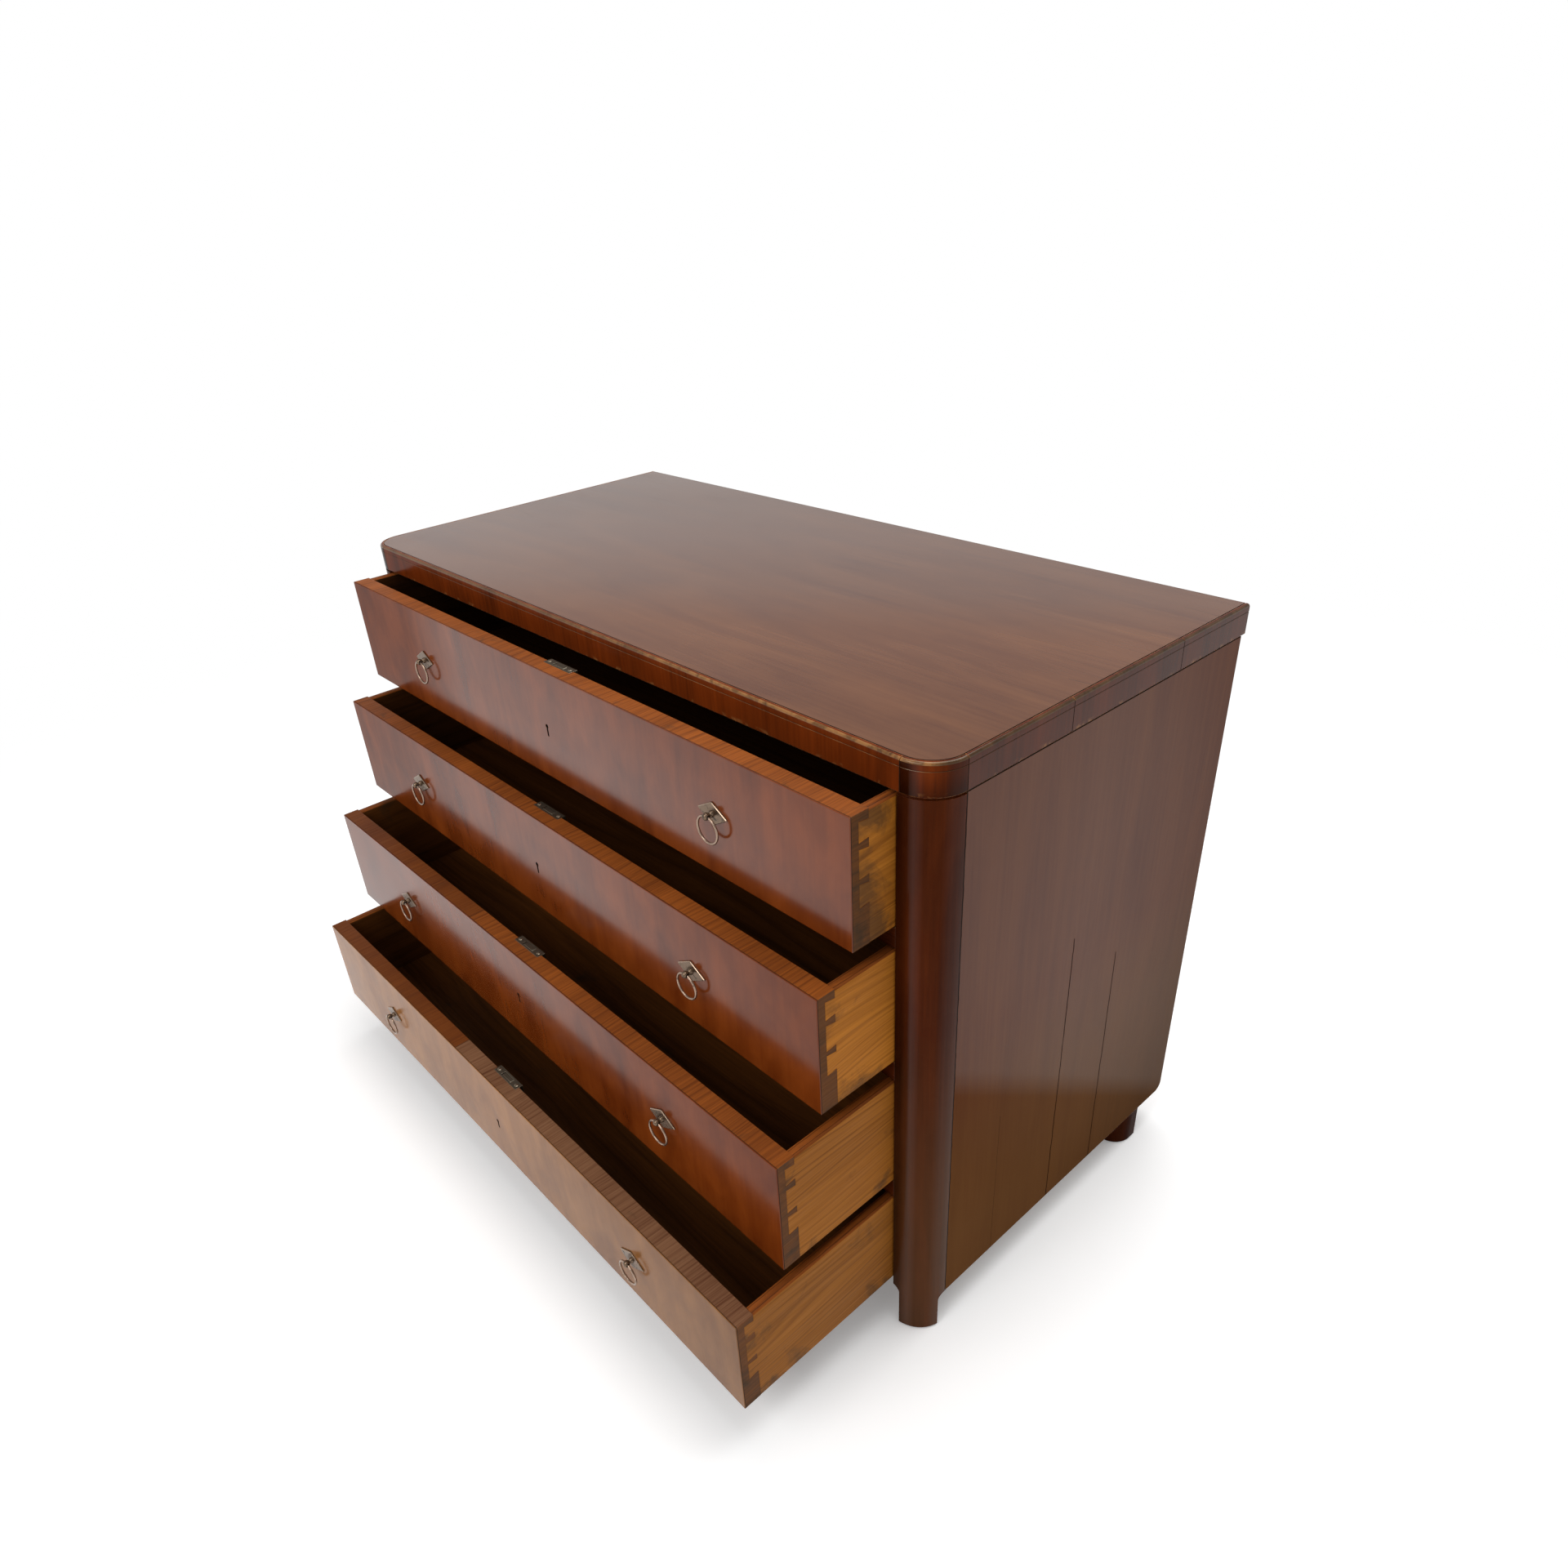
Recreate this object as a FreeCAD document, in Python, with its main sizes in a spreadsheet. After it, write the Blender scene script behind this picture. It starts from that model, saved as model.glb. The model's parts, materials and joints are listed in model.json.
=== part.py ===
"""A chest of four drawers in veneered mahogany, with quarter-round front posts that run down as feet.

Millimetres, +Z up, the front looks along -Y. The origin is on the floor, midway between the sides and
midway between the front plane and the rear edges of the sides. The drawers stand open by the amounts
in the sheet.
"""
import FreeCAD, Part
import os
import types

import Sketcher

SIZES = [
    ("width", 1150, "outer width of the carcass"),
    ("depth", 545, "front plane to the rear edges of the sides"),
    ("foot_high", 60, "floor to the lower edge of the sides"),
    ("top_thick", 37, "thickness of the top"),
    ("top_rear_reach", 8, "how far the top stands out behind the sides"),
    ("corner_round", 44, "radius of the top's front corners and of the posts"),
    ("edging_thick", 6, "thickness of the band round the top's edge"),
    ("edging_lip", 3.5, "radius of the band's upper arris"),
    ("edging_arris", 1.0, "flat on the band's lower arris"),
    ("edging_groove", 0.9, "depth of the groove between the band and the top board"),
    ("quirk_drop", 8.5, "top face down to the quirk in the band"),
    ("quirk_wide", 1.2, "width of the quirk"),
    ("quirk_deep", 0.5, "depth of the quirk"),
    ("seam_gap", 0.3, "open seam between two lengths of the band"),
    ("post_flat", 3.5, "flat strip on the post beside the drawers"),
    ("post_neck_high", 2, "height of the neck between post and top"),
    ("post_neck_inset", 2, "how far the neck stands back"),
    ("foot_cove", 9.5, "radius of the cove above the foot's inner side"),
    ("foot_cove_above", 10, "how far that cove starts above the side's lower edge"),
    ("foot_rear_cove", 11, "radius of the cove behind the foot"),
    ("toe_round", 4, "radius round the foot's sole"),
    ("side_thick", 20, "thickness of the sides"),
    ("side_corner_round", 14, "radius of the side's lower rear corner"),
    ("back_thick", 10, "thickness of the back boards"),
    ("back_rebate", 10, "how far the back boards enter the sides"),
    ("back_gap", 0.5, "shrinkage gap between two back boards"),
    ("rear_foot_wide", 43, "width and depth of a rear foot"),
    ("rear_foot_inset", 2, "rear foot inside the side's outer face"),
    ("rear_foot_forward", 55, "rear foot in front of the side's rear edge"),
    ("rear_foot_round", 30, "radius of the rear foot's outer front corner"),
    ("bottom_thick", 18, "thickness of the bottom board"),
    ("bottom_lift", 3.7, "bottom board above the lower edge of the sides"),
    ("bottom_setback", 14, "bottom board behind the front plane"),
    ("rail_high", 26, "height of a drawer rail"),
    ("rail_deep", 60, "depth of a drawer rail"),
    ("rail_gap", 1.5, "gap between a rail and the drawer front beside it"),
    ("top_gap", 2, "gap between the upper drawer and the top"),
    ("tenon_long", 12, "length of the rail's stub tenon"),
    ("tenon_thick", 12, "thickness of the stub tenon, front to back"),
    ("tenon_setback", 16, "front plane to the stub tenon"),
    ("tenon_shoulder", 5, "shoulder above and below the stub tenon"),
    ("tenon_play", 0.5, "room beyond the tenon in its mortise"),
    ("runner_wide", 55, "width of a runner"),
    ("slide_gap", 0.3, "running gap under a drawer"),
    ("guide_gap", 0.8, "running gap beside a drawer"),
    ("guide_high", 20, "height of a guide strip on its runner"),
    ("kick_gap", 1.0, "gap between a drawer's sides and the runner above"),
    ("stop_wide", 40, "width of a drawer stop"),
    ("stop_deep", 22, "depth of a drawer stop"),
    ("stop_rise", 4, "drawer stop above the drawer's lower edge"),
    ("stop_place", 330, "drawer stop from the middle of the chest"),
    ("stop_gap", 0.3, "closed drawer front to its stops"),
    ("drawer_1_high", 152, "height of the upper drawer's front"),
    ("drawer_2_high", 152, "height of the second drawer's front"),
    ("drawer_3_high", 158, "height of the third drawer's front"),
    ("drawer_4_high", 148, "height of the lowest drawer's front"),
    ("opening_1", 60, "how far the upper drawer stands open"),
    ("opening_2", 110, "how far the second drawer stands open"),
    ("opening_3", 175, "how far the third drawer stands open"),
    ("opening_4", 247, "how far the lowest drawer stands open"),
    ("drawer_gap", 1.5, "gap between a drawer front's end and the post"),
    ("drawer_rear_room", 30, "closed drawer to the back boards"),
    ("front_thick", 24.5, "thickness of a drawer front"),
    ("front_arris", 0.9, "radius of the drawer front's outer arrises"),
    ("lap", 11, "wood left in front of the dovetails"),
    ("drawer_side_thick", 13, "thickness of a drawer side"),
    ("drawer_side_drop", 1, "drawer side below the front's upper edge"),
    ("tail_flare", 1.9, "how much a tail widens on each side"),
    ("drawer_back_thick", 12, "thickness of a drawer back"),
    ("drawer_back_drop", 10, "drawer back below the front's upper edge"),
    ("drawer_bottom_thick", 8, "thickness of a drawer bottom"),
    ("drawer_bottom_lift", 8, "drawer bottom above the side's lower edge"),
    ("groove_deep", 6, "depth of the groove for the drawer bottom"),
    ("groove_play", 0.5, "room for the drawer bottom in its groove"),
    ("lock_wide", 57, "width of a lock"),
    ("lock_high", 95, "height of a lock"),
    ("lock_thick", 12, "thickness of a lock"),
    ("lock_inlet", 6, "how far the lock is let into the front"),
    ("lock_place", 14, "middle of the lock beside the keyhole"),
    ("lock_round", 5, "radius of the lock's lower corners"),
    ("bolt_wide", 24, "width of a bolt"),
    ("bolt_thick", 6, "thickness of a bolt"),
    ("bolt_high", 38, "height of a bolt"),
    ("bolt_round", 2.5, "radius of the bolt's upper corners"),
    ("bolt_gap", 0.3, "running gap round a bolt"),
    ("strike_play", 1.5, "room round the bolt in its strike mortise"),
    ("strike_deep", 10, "depth of a strike mortise"),
    ("key_drop", 82, "drawer's upper edge to the middle of the keyhole"),
    ("key_high", 17, "height of a keyhole"),
    ("key_head", 6, "diameter of the keyhole's round head"),
    ("key_slot", 3.2, "width of the keyhole's slot"),
    ("key_deep", 4, "depth of the keyhole in the lock"),
    ("pull_place", 325, "pull from the middle of the chest"),
    ("pull_drop", 74, "drawer's upper edge to the pull"),
    ("plate_wide", 46.5, "width of the lozenge plate"),
    ("plate_high", 27.5, "height of the lozenge plate"),
    ("plate_thick", 2, "thickness of the lozenge plate"),
    ("plate_bevel", 0.7, "bevel round the lozenge plate"),
    ("plate_tip", 1.6, "blunt tip of the lozenge plate"),
    ("stud_wide", 5, "diameter of the pull's stud"),
    ("stud_play", 0.3, "room round the stud in the front"),
    ("stud_end", 2, "stud beyond its nut"),
    ("collar_wide", 8, "diameter of the domed collar"),
    ("neck_wide", 5, "diameter of the neck between collar and eye"),
    ("eye_wide", 8.8, "diameter of the eye ball"),
    ("eye_out", 9.5, "drawer front to the middle of the eye"),
    ("eye_hole", 4.8, "diameter of the hole through the eye"),
    ("ring_wide", 32.5, "diameter of the ring on the middle of its wire"),
    ("ring_wire", 3, "diameter of the ring's wire"),
    ("nut_wide", 11, "width of the square nut"),
    ("nut_thick", 4, "thickness of the square nut"),
    ("thread_play", 0.1, "room between stud and nut"),
    ("overrun", 5, "how far a cut runs past the wood"),
]
BACK_BOARDS = 5
EDGING_SEAM_SHARES = [0.0, 0.32, 0.72, 1.0]
TAIL_SHARES = [(0.306, 0.487), (0.520, 0.743), (0.783, 0.941)]
REAR_TAIL_SHARES = [(0.17, 0.43), (0.55, 0.81)]
NORMAL_SIGN = {"XY_Plane": 1, "XZ_Plane": -1, "YZ_Plane": 1}


class Size:
    """A size with the text that binds it to the sheet and the value that it has now."""

    def __init__(self, text, value):
        self.text = text
        self.value = value

    def joined(self, mark, other, value):
        other_text = other.text if isinstance(other, Size) else repr(other)
        return Size(f"({self.text} {mark} {other_text})", value)

    def __add__(self, other):
        return self.joined("+", other, self.value + other.value)

    def __sub__(self, other):
        return self.joined("-", other, self.value - other.value)

    def __mul__(self, share):
        return self.joined("*", share, self.value * share)

    def __truediv__(self, share):
        return self.joined("/", share, self.value / share)

    def __neg__(self):
        return self * -1


def leg(long_side, short_side):
    """The other leg of a right triangle with this hypotenuse and leg."""
    value = (long_side.value ** 2 - short_side.value ** 2) ** 0.5
    return Size(f"sqrt({long_side.text}^2 - {short_side.text}^2)", value)


os.makedirs("parts", exist_ok=True)
doc = FreeCAD.newDocument("chest_of_drawers")
sheet = doc.addObject("Spreadsheet::Sheet", "Sizes")
for row, (alias, number, note) in enumerate(SIZES, start=1):
    sheet.set(f"A{row}", note)
    sheet.set(f"B{row}", str(number))
    sheet.setAlias(f"B{row}", alias)
doc.recompute()
size = types.SimpleNamespace(**{alias: Size("Sizes." + alias, number) for alias, number, note in SIZES})
zero = Size("0", 0)
nodes = []


def bind(thing, name, value):
    thing.setExpression(name, value.text)


def place(thing, x, y, z):
    """Put a finished sub-part at its place."""
    for axis, value in (("x", x), ("y", y), ("z", z)):
        bind(thing, "Placement.Base." + axis, value)


def node(thing, label):
    """Make a document object a sub-part, under the name of its file."""
    thing.Label = label
    nodes.append(thing)
    return thing


def new_body(name):
    return doc.addObject("PartDesign::Body", name)


def new_sketch(body, plane, at):
    """An empty sketch on one of the body's origin planes, moved to a place along the plane's axis."""
    sketch = body.newObject("Sketcher::SketchObject", "Sketch")
    support = [feature for feature in body.Origin.OriginFeatures if feature.Role == plane][0]
    sketch.AttachmentSupport = [(support, "")]
    sketch.MapMode = "FlatFace"
    bind(sketch, "AttachmentOffset.Base.z", at * NORMAL_SIGN[plane])
    return sketch


def add_limits(sketch, limits):
    """Add constraints, each with the size that drives it, or None."""
    first = sketch.ConstraintCount
    sketch.addConstraint([limit for limit, value in limits])
    for index, (limit, value) in enumerate(limits, start=first):
        if value is not None:
            sketch.setExpression(f"Constraints[{index}]", value.text)


def pins(edge, end, x, y):
    """Two constraints that hold one end of an edge, or a circle's centre, at a point."""
    across = Sketcher.Constraint("DistanceX", -1, 1, edge, end, x.value)
    up = Sketcher.Constraint("DistanceY", -1, 1, edge, end, y.value)
    return [(across, x), (up, y)]


def draw_outline(sketch, points):
    """A closed outline. A point is (x, y), or (x, y, radius, centre_x, centre_y) at an arc's end."""
    first = sketch.GeometryCount
    ends = []
    limits = []
    for index, point in enumerate(points):
        start = points[index - 1]
        edge = first + index
        a = FreeCAD.Vector(start[0].value, start[1].value, 0)
        b = FreeCAD.Vector(point[0].value, point[1].value, 0)
        if len(point) == 2:
            sketch.addGeometry(Part.LineSegment(a, b), False)
            ends.append((1, 2))
            continue
        centre = FreeCAD.Vector(point[3].value, point[4].value, 0)
        turns_left = (a - centre).cross(b - centre).z > 0
        low, high = (a, b) if turns_left else (b, a)
        circle = Part.Circle(centre, FreeCAD.Vector(0, 0, 1), point[2].value)
        sketch.addGeometry(Part.ArcOfCircle(circle, circle.parameter(low), circle.parameter(high)), False)
        ends.append((1, 2) if turns_left else (2, 1))
        limits.append((Sketcher.Constraint("Radius", edge, point[2].value), point[2]))
    for index, point in enumerate(points):
        edge = first + index
        start = points[index - 1]
        before = (index - 1) % len(points)
        meeting = Sketcher.Constraint("Coincident", first + before, ends[before][1], edge, ends[index][0])
        limits.append((meeting, None))
        limits += pins(edge, ends[index][0], start[0], start[1])
    add_limits(sketch, limits)


def draw_circle(sketch, x, y, diameter):
    edge = sketch.GeometryCount
    centre = FreeCAD.Vector(x.value, y.value, 0)
    sketch.addGeometry(Part.Circle(centre, FreeCAD.Vector(0, 0, 1), diameter.value / 2), False)
    across = Sketcher.Constraint("Diameter", edge, diameter.value)
    add_limits(sketch, pins(edge, 3, x, y) + [(across, diameter)])


def rectangle(low_x, low_y, high_x, high_y):
    return [(low_x, low_y), (high_x, low_y), (high_x, high_y), (low_x, high_y)]


def pad(body, plane, at, toward, length, *outlines):
    """Add wood: outlines on a plane, drawn out along its axis, toward +1 or -1."""
    sketch = new_sketch(body, plane, at)
    for outline in outlines:
        draw_outline(sketch, outline)
    feature = body.newObject("PartDesign::Pad", "Pad")
    feature.Profile = sketch
    bind(feature, "Length", length)
    feature.Reversed = toward != NORMAL_SIGN[plane]
    doc.recompute()
    return feature


def cut_sketch(body, sketch, toward, plane, length):
    """Take wood away under a sketch, and make sure that some went."""
    before = body.Shape.Volume
    feature = body.newObject("PartDesign::Pocket", "Pocket")
    feature.Profile = sketch
    bind(feature, "Length", length)
    feature.Reversed = toward == NORMAL_SIGN[plane]
    doc.recompute()
    if not body.Shape.Volume < before:
        raise RuntimeError(f"a cut in {body.Name} takes nothing away")
    return feature


def cut(body, plane, at, toward, length, *outlines):
    """Take wood away: outlines on a plane, sunk along its axis, toward +1 or -1."""
    sketch = new_sketch(body, plane, at)
    for outline in outlines:
        draw_outline(sketch, outline)
    return cut_sketch(body, sketch, toward, plane, length)


def drill(body, plane, at, toward, length, diameter, *centres):
    """Round holes along a plane's axis."""
    sketch = new_sketch(body, plane, at)
    for x, y in centres:
        draw_circle(sketch, x, y, diameter)
    return cut_sketch(body, sketch, toward, plane, length)


def dress_edges(body, kind, name, value, chosen):
    """A fillet or chamfer on the edges that a test picks out."""
    tip = body.Tip
    names = [f"Edge{i}" for i, edge in enumerate(tip.Shape.Edges, start=1) if chosen(edge)]
    if not names:
        raise RuntimeError(f"no edge of {body.Name} is picked out")
    feature = body.newObject("PartDesign::" + kind, kind)
    feature.Base = (tip, names)
    bind(feature, name, value)
    doc.recompute()
    return feature


def lies_at(edge, axis, value):
    """Whether an edge lies in a plane square to an axis."""
    offs = [abs(getattr(point, axis) - value.value) for point in edge.discretize(3)]
    return max(offs) < Part.Precision.approximation()


def block(name, low, high):
    """A squared block between two corners."""
    box = doc.addObject("Part::Box", name)
    for side, a, b in zip(("Length", "Width", "Height"), low, high):
        bind(box, side, b - a)
    place(box, *low)
    return box


def in_order(one, other):
    """Two places, the lower first."""
    return (one, other) if one.value < other.value else (other, one)


def group(name, pieces):
    """Separate solids that share one sub-part."""
    compound = doc.addObject("Part::Compound", name)
    compound.Links = pieces
    return node(compound, name)


# Places that several pieces share
half_width = size.width / 2
half_depth = size.depth / 2
front_plane = -half_depth
post_wide = size.corner_round + size.post_flat
post_inside = half_width - post_wide
post_rear = front_plane + size.corner_round
side_inside = half_width - size.side_thick
back_front = half_depth - size.back_thick
drawer_half = post_inside - size.drawer_gap
drawer_long = size.depth - size.back_thick - size.drawer_rear_room
bottom_under = size.foot_high + size.bottom_lift
bottom_top = bottom_under + size.bottom_thick

# The drawers are stacked from the bottom board up
drawer_high = {number: getattr(size, f"drawer_{number}_high") for number in (1, 2, 3, 4)}
opening = {number: getattr(size, f"opening_{number}") for number in (1, 2, 3, 4)}
drawer_low = {4: bottom_top + size.slide_gap}
rail_low = {}
for number in (3, 2, 1):
    rail_low[number] = drawer_low[number + 1] + drawer_high[number + 1] + size.rail_gap
    drawer_low[number] = rail_low[number] + size.rail_high + size.rail_gap
top_under = drawer_low[1] + drawer_high[1] + size.top_gap
height = top_under + size.top_thick

# Where a closed drawer's bolt enters the wood above
bolt_middle = front_plane + size.front_thick - size.lock_inlet + size.lock_thick / 2
strike_outline = rectangle(
    size.lock_place - size.bolt_wide / 2 - size.strike_play,
    bolt_middle - size.bolt_thick / 2 - size.strike_play,
    size.lock_place + size.bolt_wide / 2 + size.strike_play,
    bolt_middle + size.bolt_thick / 2 + size.strike_play,
)


def make_top_board():
    """The top without its edging: its front corners follow the corner pieces."""
    body = new_body("top_board")
    edge_x = half_width - size.edging_thick
    edge_y = front_plane + size.edging_thick
    radius = size.corner_round - size.edging_thick
    centre_x = half_width - size.corner_round
    rear = half_depth + size.top_rear_reach
    outline = [
        (centre_x, edge_y),
        (edge_x, post_rear, radius, centre_x, post_rear),
        (edge_x, rear),
        (-edge_x, rear),
        (-edge_x, post_rear),
        (-centre_x, edge_y, radius, -centre_x, post_rear),
    ]
    pad(body, "XY_Plane", top_under, 1, size.top_thick, outline)
    cut(body, "XY_Plane", top_under, 1, size.strike_deep, strike_outline)
    node(body, "top_board")


def edging_section(edge, outward, base):
    """The band's section: a lip over a quirk, then a plain band. Edge is its inner face."""
    thick = size.edging_thick
    high = size.top_thick
    quirk = high - size.quirk_drop
    rows = [
        (zero, zero),
        (thick - size.edging_arris, zero),
        (thick, size.edging_arris),
        (thick, quirk - size.quirk_wide),
        (thick - size.quirk_deep, quirk - size.quirk_wide / 2),
        (thick, quirk),
        (thick, high - size.edging_lip),
        (thick - size.edging_lip, high, size.edging_lip, thick - size.edging_lip, high - size.edging_lip),
        (size.edging_groove, high),
        (zero, high - size.edging_groove),
    ]
    points = []
    for row in rows:
        point = (edge + row[0] * outward, base + row[1])
        if len(row) > 2:
            point += (row[2], edge + row[3] * outward, base + row[4])
        points.append(point)
    return points


def make_top_edging():
    """The band: one length along the front and three along each side."""
    pieces = []
    front = new_body("edging_front")
    start = size.corner_round - half_width + size.seam_gap
    section = edging_section(front_plane + size.edging_thick, -1, top_under)
    pad(front, "YZ_Plane", start, 1, start * -2, section)
    pieces.append(front)
    run = size.depth + size.top_rear_reach - size.corner_round
    for outward, name in ((-1, "left"), (1, "right")):
        section = edging_section((half_width - size.edging_thick) * outward, outward, top_under)
        for count, (low, high) in enumerate(zip(EDGING_SEAM_SHARES, EDGING_SEAM_SHARES[1:]), start=1):
            piece = new_body(f"edging_{name}_{count}")
            start = post_rear + run * low + size.seam_gap
            pad(piece, "XZ_Plane", start, 1, run * (high - low) - size.seam_gap, section)
            pieces.append(piece)
    group("top_edging", pieces)


def make_top_corners():
    """The quarter-round lengths of the band, turned to the same section."""
    pieces = []
    for outward, name, turn in ((1, "right", 0), (-1, "left", -90)):
        body = new_body("corner_" + name)
        sketch = new_sketch(body, "XZ_Plane", zero)
        draw_outline(sketch, edging_section(size.corner_round - size.edging_thick, 1, zero))
        feature = body.newObject("PartDesign::Revolution", "Revolution")
        feature.Profile = sketch
        feature.ReferenceAxis = (sketch, ["V_Axis"])
        feature.Angle = 90
        feature.Reversed = True
        body.Placement.Rotation = FreeCAD.Rotation(FreeCAD.Vector(0, 0, 1), turn)
        place(body, (half_width - size.corner_round) * outward, post_rear, top_under)
        pieces.append(body)
    doc.recompute()
    group("top_corners", pieces)


def post_section(outward, inset):
    """The post in plan: a flat beside the drawers, then a quarter round."""
    round_middle = (half_width - size.corner_round) * outward
    inner = post_inside * outward
    radius = size.corner_round - inset
    return [
        (inner, post_rear),
        (inner, front_plane + inset),
        (round_middle, front_plane + inset),
        ((half_width - inset) * outward, post_rear, radius, round_middle, post_rear),
    ]


def make_post(outward, name):
    """A front post with a neck under the top, mortises for the rails and a coved foot."""
    body = new_body("post_" + name)
    neck = top_under - size.post_neck_high
    pad(body, "XY_Plane", zero, 1, neck, post_section(outward, zero))
    pad(body, "XY_Plane", neck, 1, size.post_neck_high, post_section(outward, size.post_neck_inset))
    inner = post_inside * outward
    foot_inner = inner + size.foot_cove * outward
    cove_top = size.foot_high + size.foot_cove_above
    outside = inner - size.overrun * outward
    inner_cove = [
        (outside, -size.overrun),
        (foot_inner, -size.overrun),
        (foot_inner, cove_top - size.foot_cove),
        (inner, cove_top, size.foot_cove, inner, cove_top - size.foot_cove),
        (outside, cove_top),
    ]
    through = size.corner_round + size.overrun * 2
    cut(body, "XZ_Plane", front_plane - size.overrun, 1, through, inner_cove)
    foot_rear = post_rear - size.foot_rear_cove
    behind = post_rear + size.overrun
    rear_cove = [
        (behind, -size.overrun),
        (foot_rear, -size.overrun),
        (foot_rear, size.foot_high - size.foot_rear_cove),
        (post_rear, size.foot_high, size.foot_rear_cove, post_rear, size.foot_high - size.foot_rear_cove),
        (behind, size.foot_high),
    ]
    cut(body, "YZ_Plane", outside, outward, post_wide + size.overrun * 2, rear_cove)
    mortises = []
    for number in (1, 2, 3):
        low = rail_low[number] + size.tenon_shoulder
        high = rail_low[number] + size.rail_high - size.tenon_shoulder
        tenon_front = front_plane + size.tenon_setback
        mortises.append(rectangle(tenon_front, low, tenon_front + size.tenon_thick, high))
    cut(body, "YZ_Plane", inner, outward, size.tenon_long + size.tenon_play, *mortises)
    dress_edges(body, "Fillet", "Radius", size.toe_round, lambda edge: lies_at(edge, "z", zero))
    node(body, "post_" + name)


def make_side(outward, name):
    """A side panel with a rebate for the back boards."""
    body = new_body("side_" + name)
    radius = size.side_corner_round
    outline = [
        (post_rear, size.foot_high),
        (half_depth - radius, size.foot_high),
        (half_depth, size.foot_high + radius, radius, half_depth - radius, size.foot_high + radius),
        (half_depth, top_under),
        (post_rear, top_under),
    ]
    pad(body, "YZ_Plane", side_inside * outward, outward, size.side_thick, outline)
    rebate = rectangle(back_front, bottom_under, half_depth + size.overrun, top_under + size.overrun)
    cut(body, "YZ_Plane", side_inside * outward, outward, size.back_rebate, rebate)
    node(body, "side_" + name)


def make_rail(number):
    """A drawer rail with stub tenons, and a strike mortise in its underside."""
    body = new_body(f"rail_{number}")
    low = rail_low[number]
    high = low + size.rail_high
    section = rectangle(front_plane, low, front_plane + size.rail_deep, high)
    pad(body, "YZ_Plane", -post_inside, 1, post_inside * 2, section)
    tenon_front = front_plane + size.tenon_setback
    tenon = rectangle(
        tenon_front, low + size.tenon_shoulder, tenon_front + size.tenon_thick, high - size.tenon_shoulder
    )
    reach = post_inside + size.tenon_long
    pad(body, "YZ_Plane", -reach, 1, reach * 2, tenon)
    cut(body, "XY_Plane", low, 1, size.strike_deep, strike_outline)
    node(body, f"rail_{number}")


def make_runners(outward, name):
    """Runners under three drawers and guide strips beside all four, glued to the side."""
    pieces = []
    front = front_plane + size.rail_deep
    guide_inner = drawer_half + size.guide_gap
    for number in (1, 2, 3, 4):
        floor = drawer_low[number] - size.slide_gap
        if number < 4:
            under = drawer_low[number + 1] + drawer_high[number + 1] + size.kick_gap
            left, right = in_order(side_inside * outward, (side_inside - size.runner_wide) * outward)
            pieces.append(block(f"runner_{name}_{number}", (left, front, under), (right, back_front, floor)))
        left, right = in_order(side_inside * outward, guide_inner * outward)
        high = (right, back_front, floor + size.guide_high)
        pieces.append(block(f"guide_{name}_{number}", (left, front, floor), high))
    doc.recompute()
    group("runners_" + name, pieces)


def make_bottom_board():
    """The board under the lowest drawer, notched round the posts."""
    body = new_body("bottom_board")
    front = front_plane + size.bottom_setback
    outline = [
        (-post_inside, front),
        (post_inside, front),
        (post_inside, post_rear),
        (side_inside, post_rear),
        (side_inside, back_front),
        (-side_inside, back_front),
        (-side_inside, post_rear),
        (-post_inside, post_rear),
    ]
    pad(body, "XY_Plane", bottom_under, 1, size.bottom_thick, outline)
    node(body, "bottom_board")


def make_back_boards():
    """Upright boards that close the back, held in the sides' rebates."""
    pieces = []
    reach = side_inside + size.back_rebate
    board = (reach * 2 - size.back_gap * (BACK_BOARDS - 1)) / BACK_BOARDS
    for count in range(BACK_BOARDS):
        start = (board + size.back_gap) * count - reach
        low = (start, back_front, bottom_under)
        high = (start + board, half_depth, top_under)
        pieces.append(block(f"back_board_{count + 1}", low, high))
    doc.recompute()
    group("back_boards", pieces)


def make_rear_foot(outward, name):
    """A rear foot under the side and the bottom board, rounded at its outer front corner."""
    body = new_body("rear_foot_" + name)
    outer = half_width - size.rear_foot_inset
    inner = outer - size.rear_foot_wide
    rear = half_depth - size.rear_foot_forward
    front = rear - size.rear_foot_wide
    outline = [
        (inner * outward, zero),
        (outer * outward, zero),
        (outer * outward, size.foot_high),
        (side_inside * outward, size.foot_high),
        (side_inside * outward, bottom_under),
        (inner * outward, bottom_under),
    ]
    pad(body, "XZ_Plane", front, 1, size.rear_foot_wide, outline)
    outer_corner = [
        ((outer + size.overrun) * outward, front - size.overrun),
        ((outer + size.overrun) * outward, front + size.rear_foot_round),
        (outer * outward, front + size.rear_foot_round),
        (
            (outer - size.rear_foot_round) * outward,
            front,
            size.rear_foot_round,
            (outer - size.rear_foot_round) * outward,
            front + size.rear_foot_round,
        ),
        ((outer - size.rear_foot_round) * outward, front - size.overrun),
    ]
    cut(body, "XY_Plane", -size.overrun, 1, bottom_under + size.overrun * 2, outer_corner)
    dress_edges(body, "Fillet", "Radius", size.toe_round, lambda edge: lies_at(edge, "z", zero))
    node(body, "rear_foot_" + name)


def make_drawer_stops():
    """Two stops behind each drawer front, glued to the rail or board below it."""
    pieces = []
    front = front_plane + size.front_thick + size.stop_gap
    for number in (1, 2, 3, 4):
        floor = drawer_low[number] - size.rail_gap if number < 4 else bottom_top
        for outward, name in ((-1, "left"), (1, "right")):
            middle = size.stop_place * outward
            low = (middle - size.stop_wide / 2, front, floor)
            high = (middle + size.stop_wide / 2, front + size.stop_deep, drawer_low[number] + size.stop_rise)
            pieces.append(block(f"stop_{name}_{number}", low, high))
    doc.recompute()
    group("drawer_stops", pieces)


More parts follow.
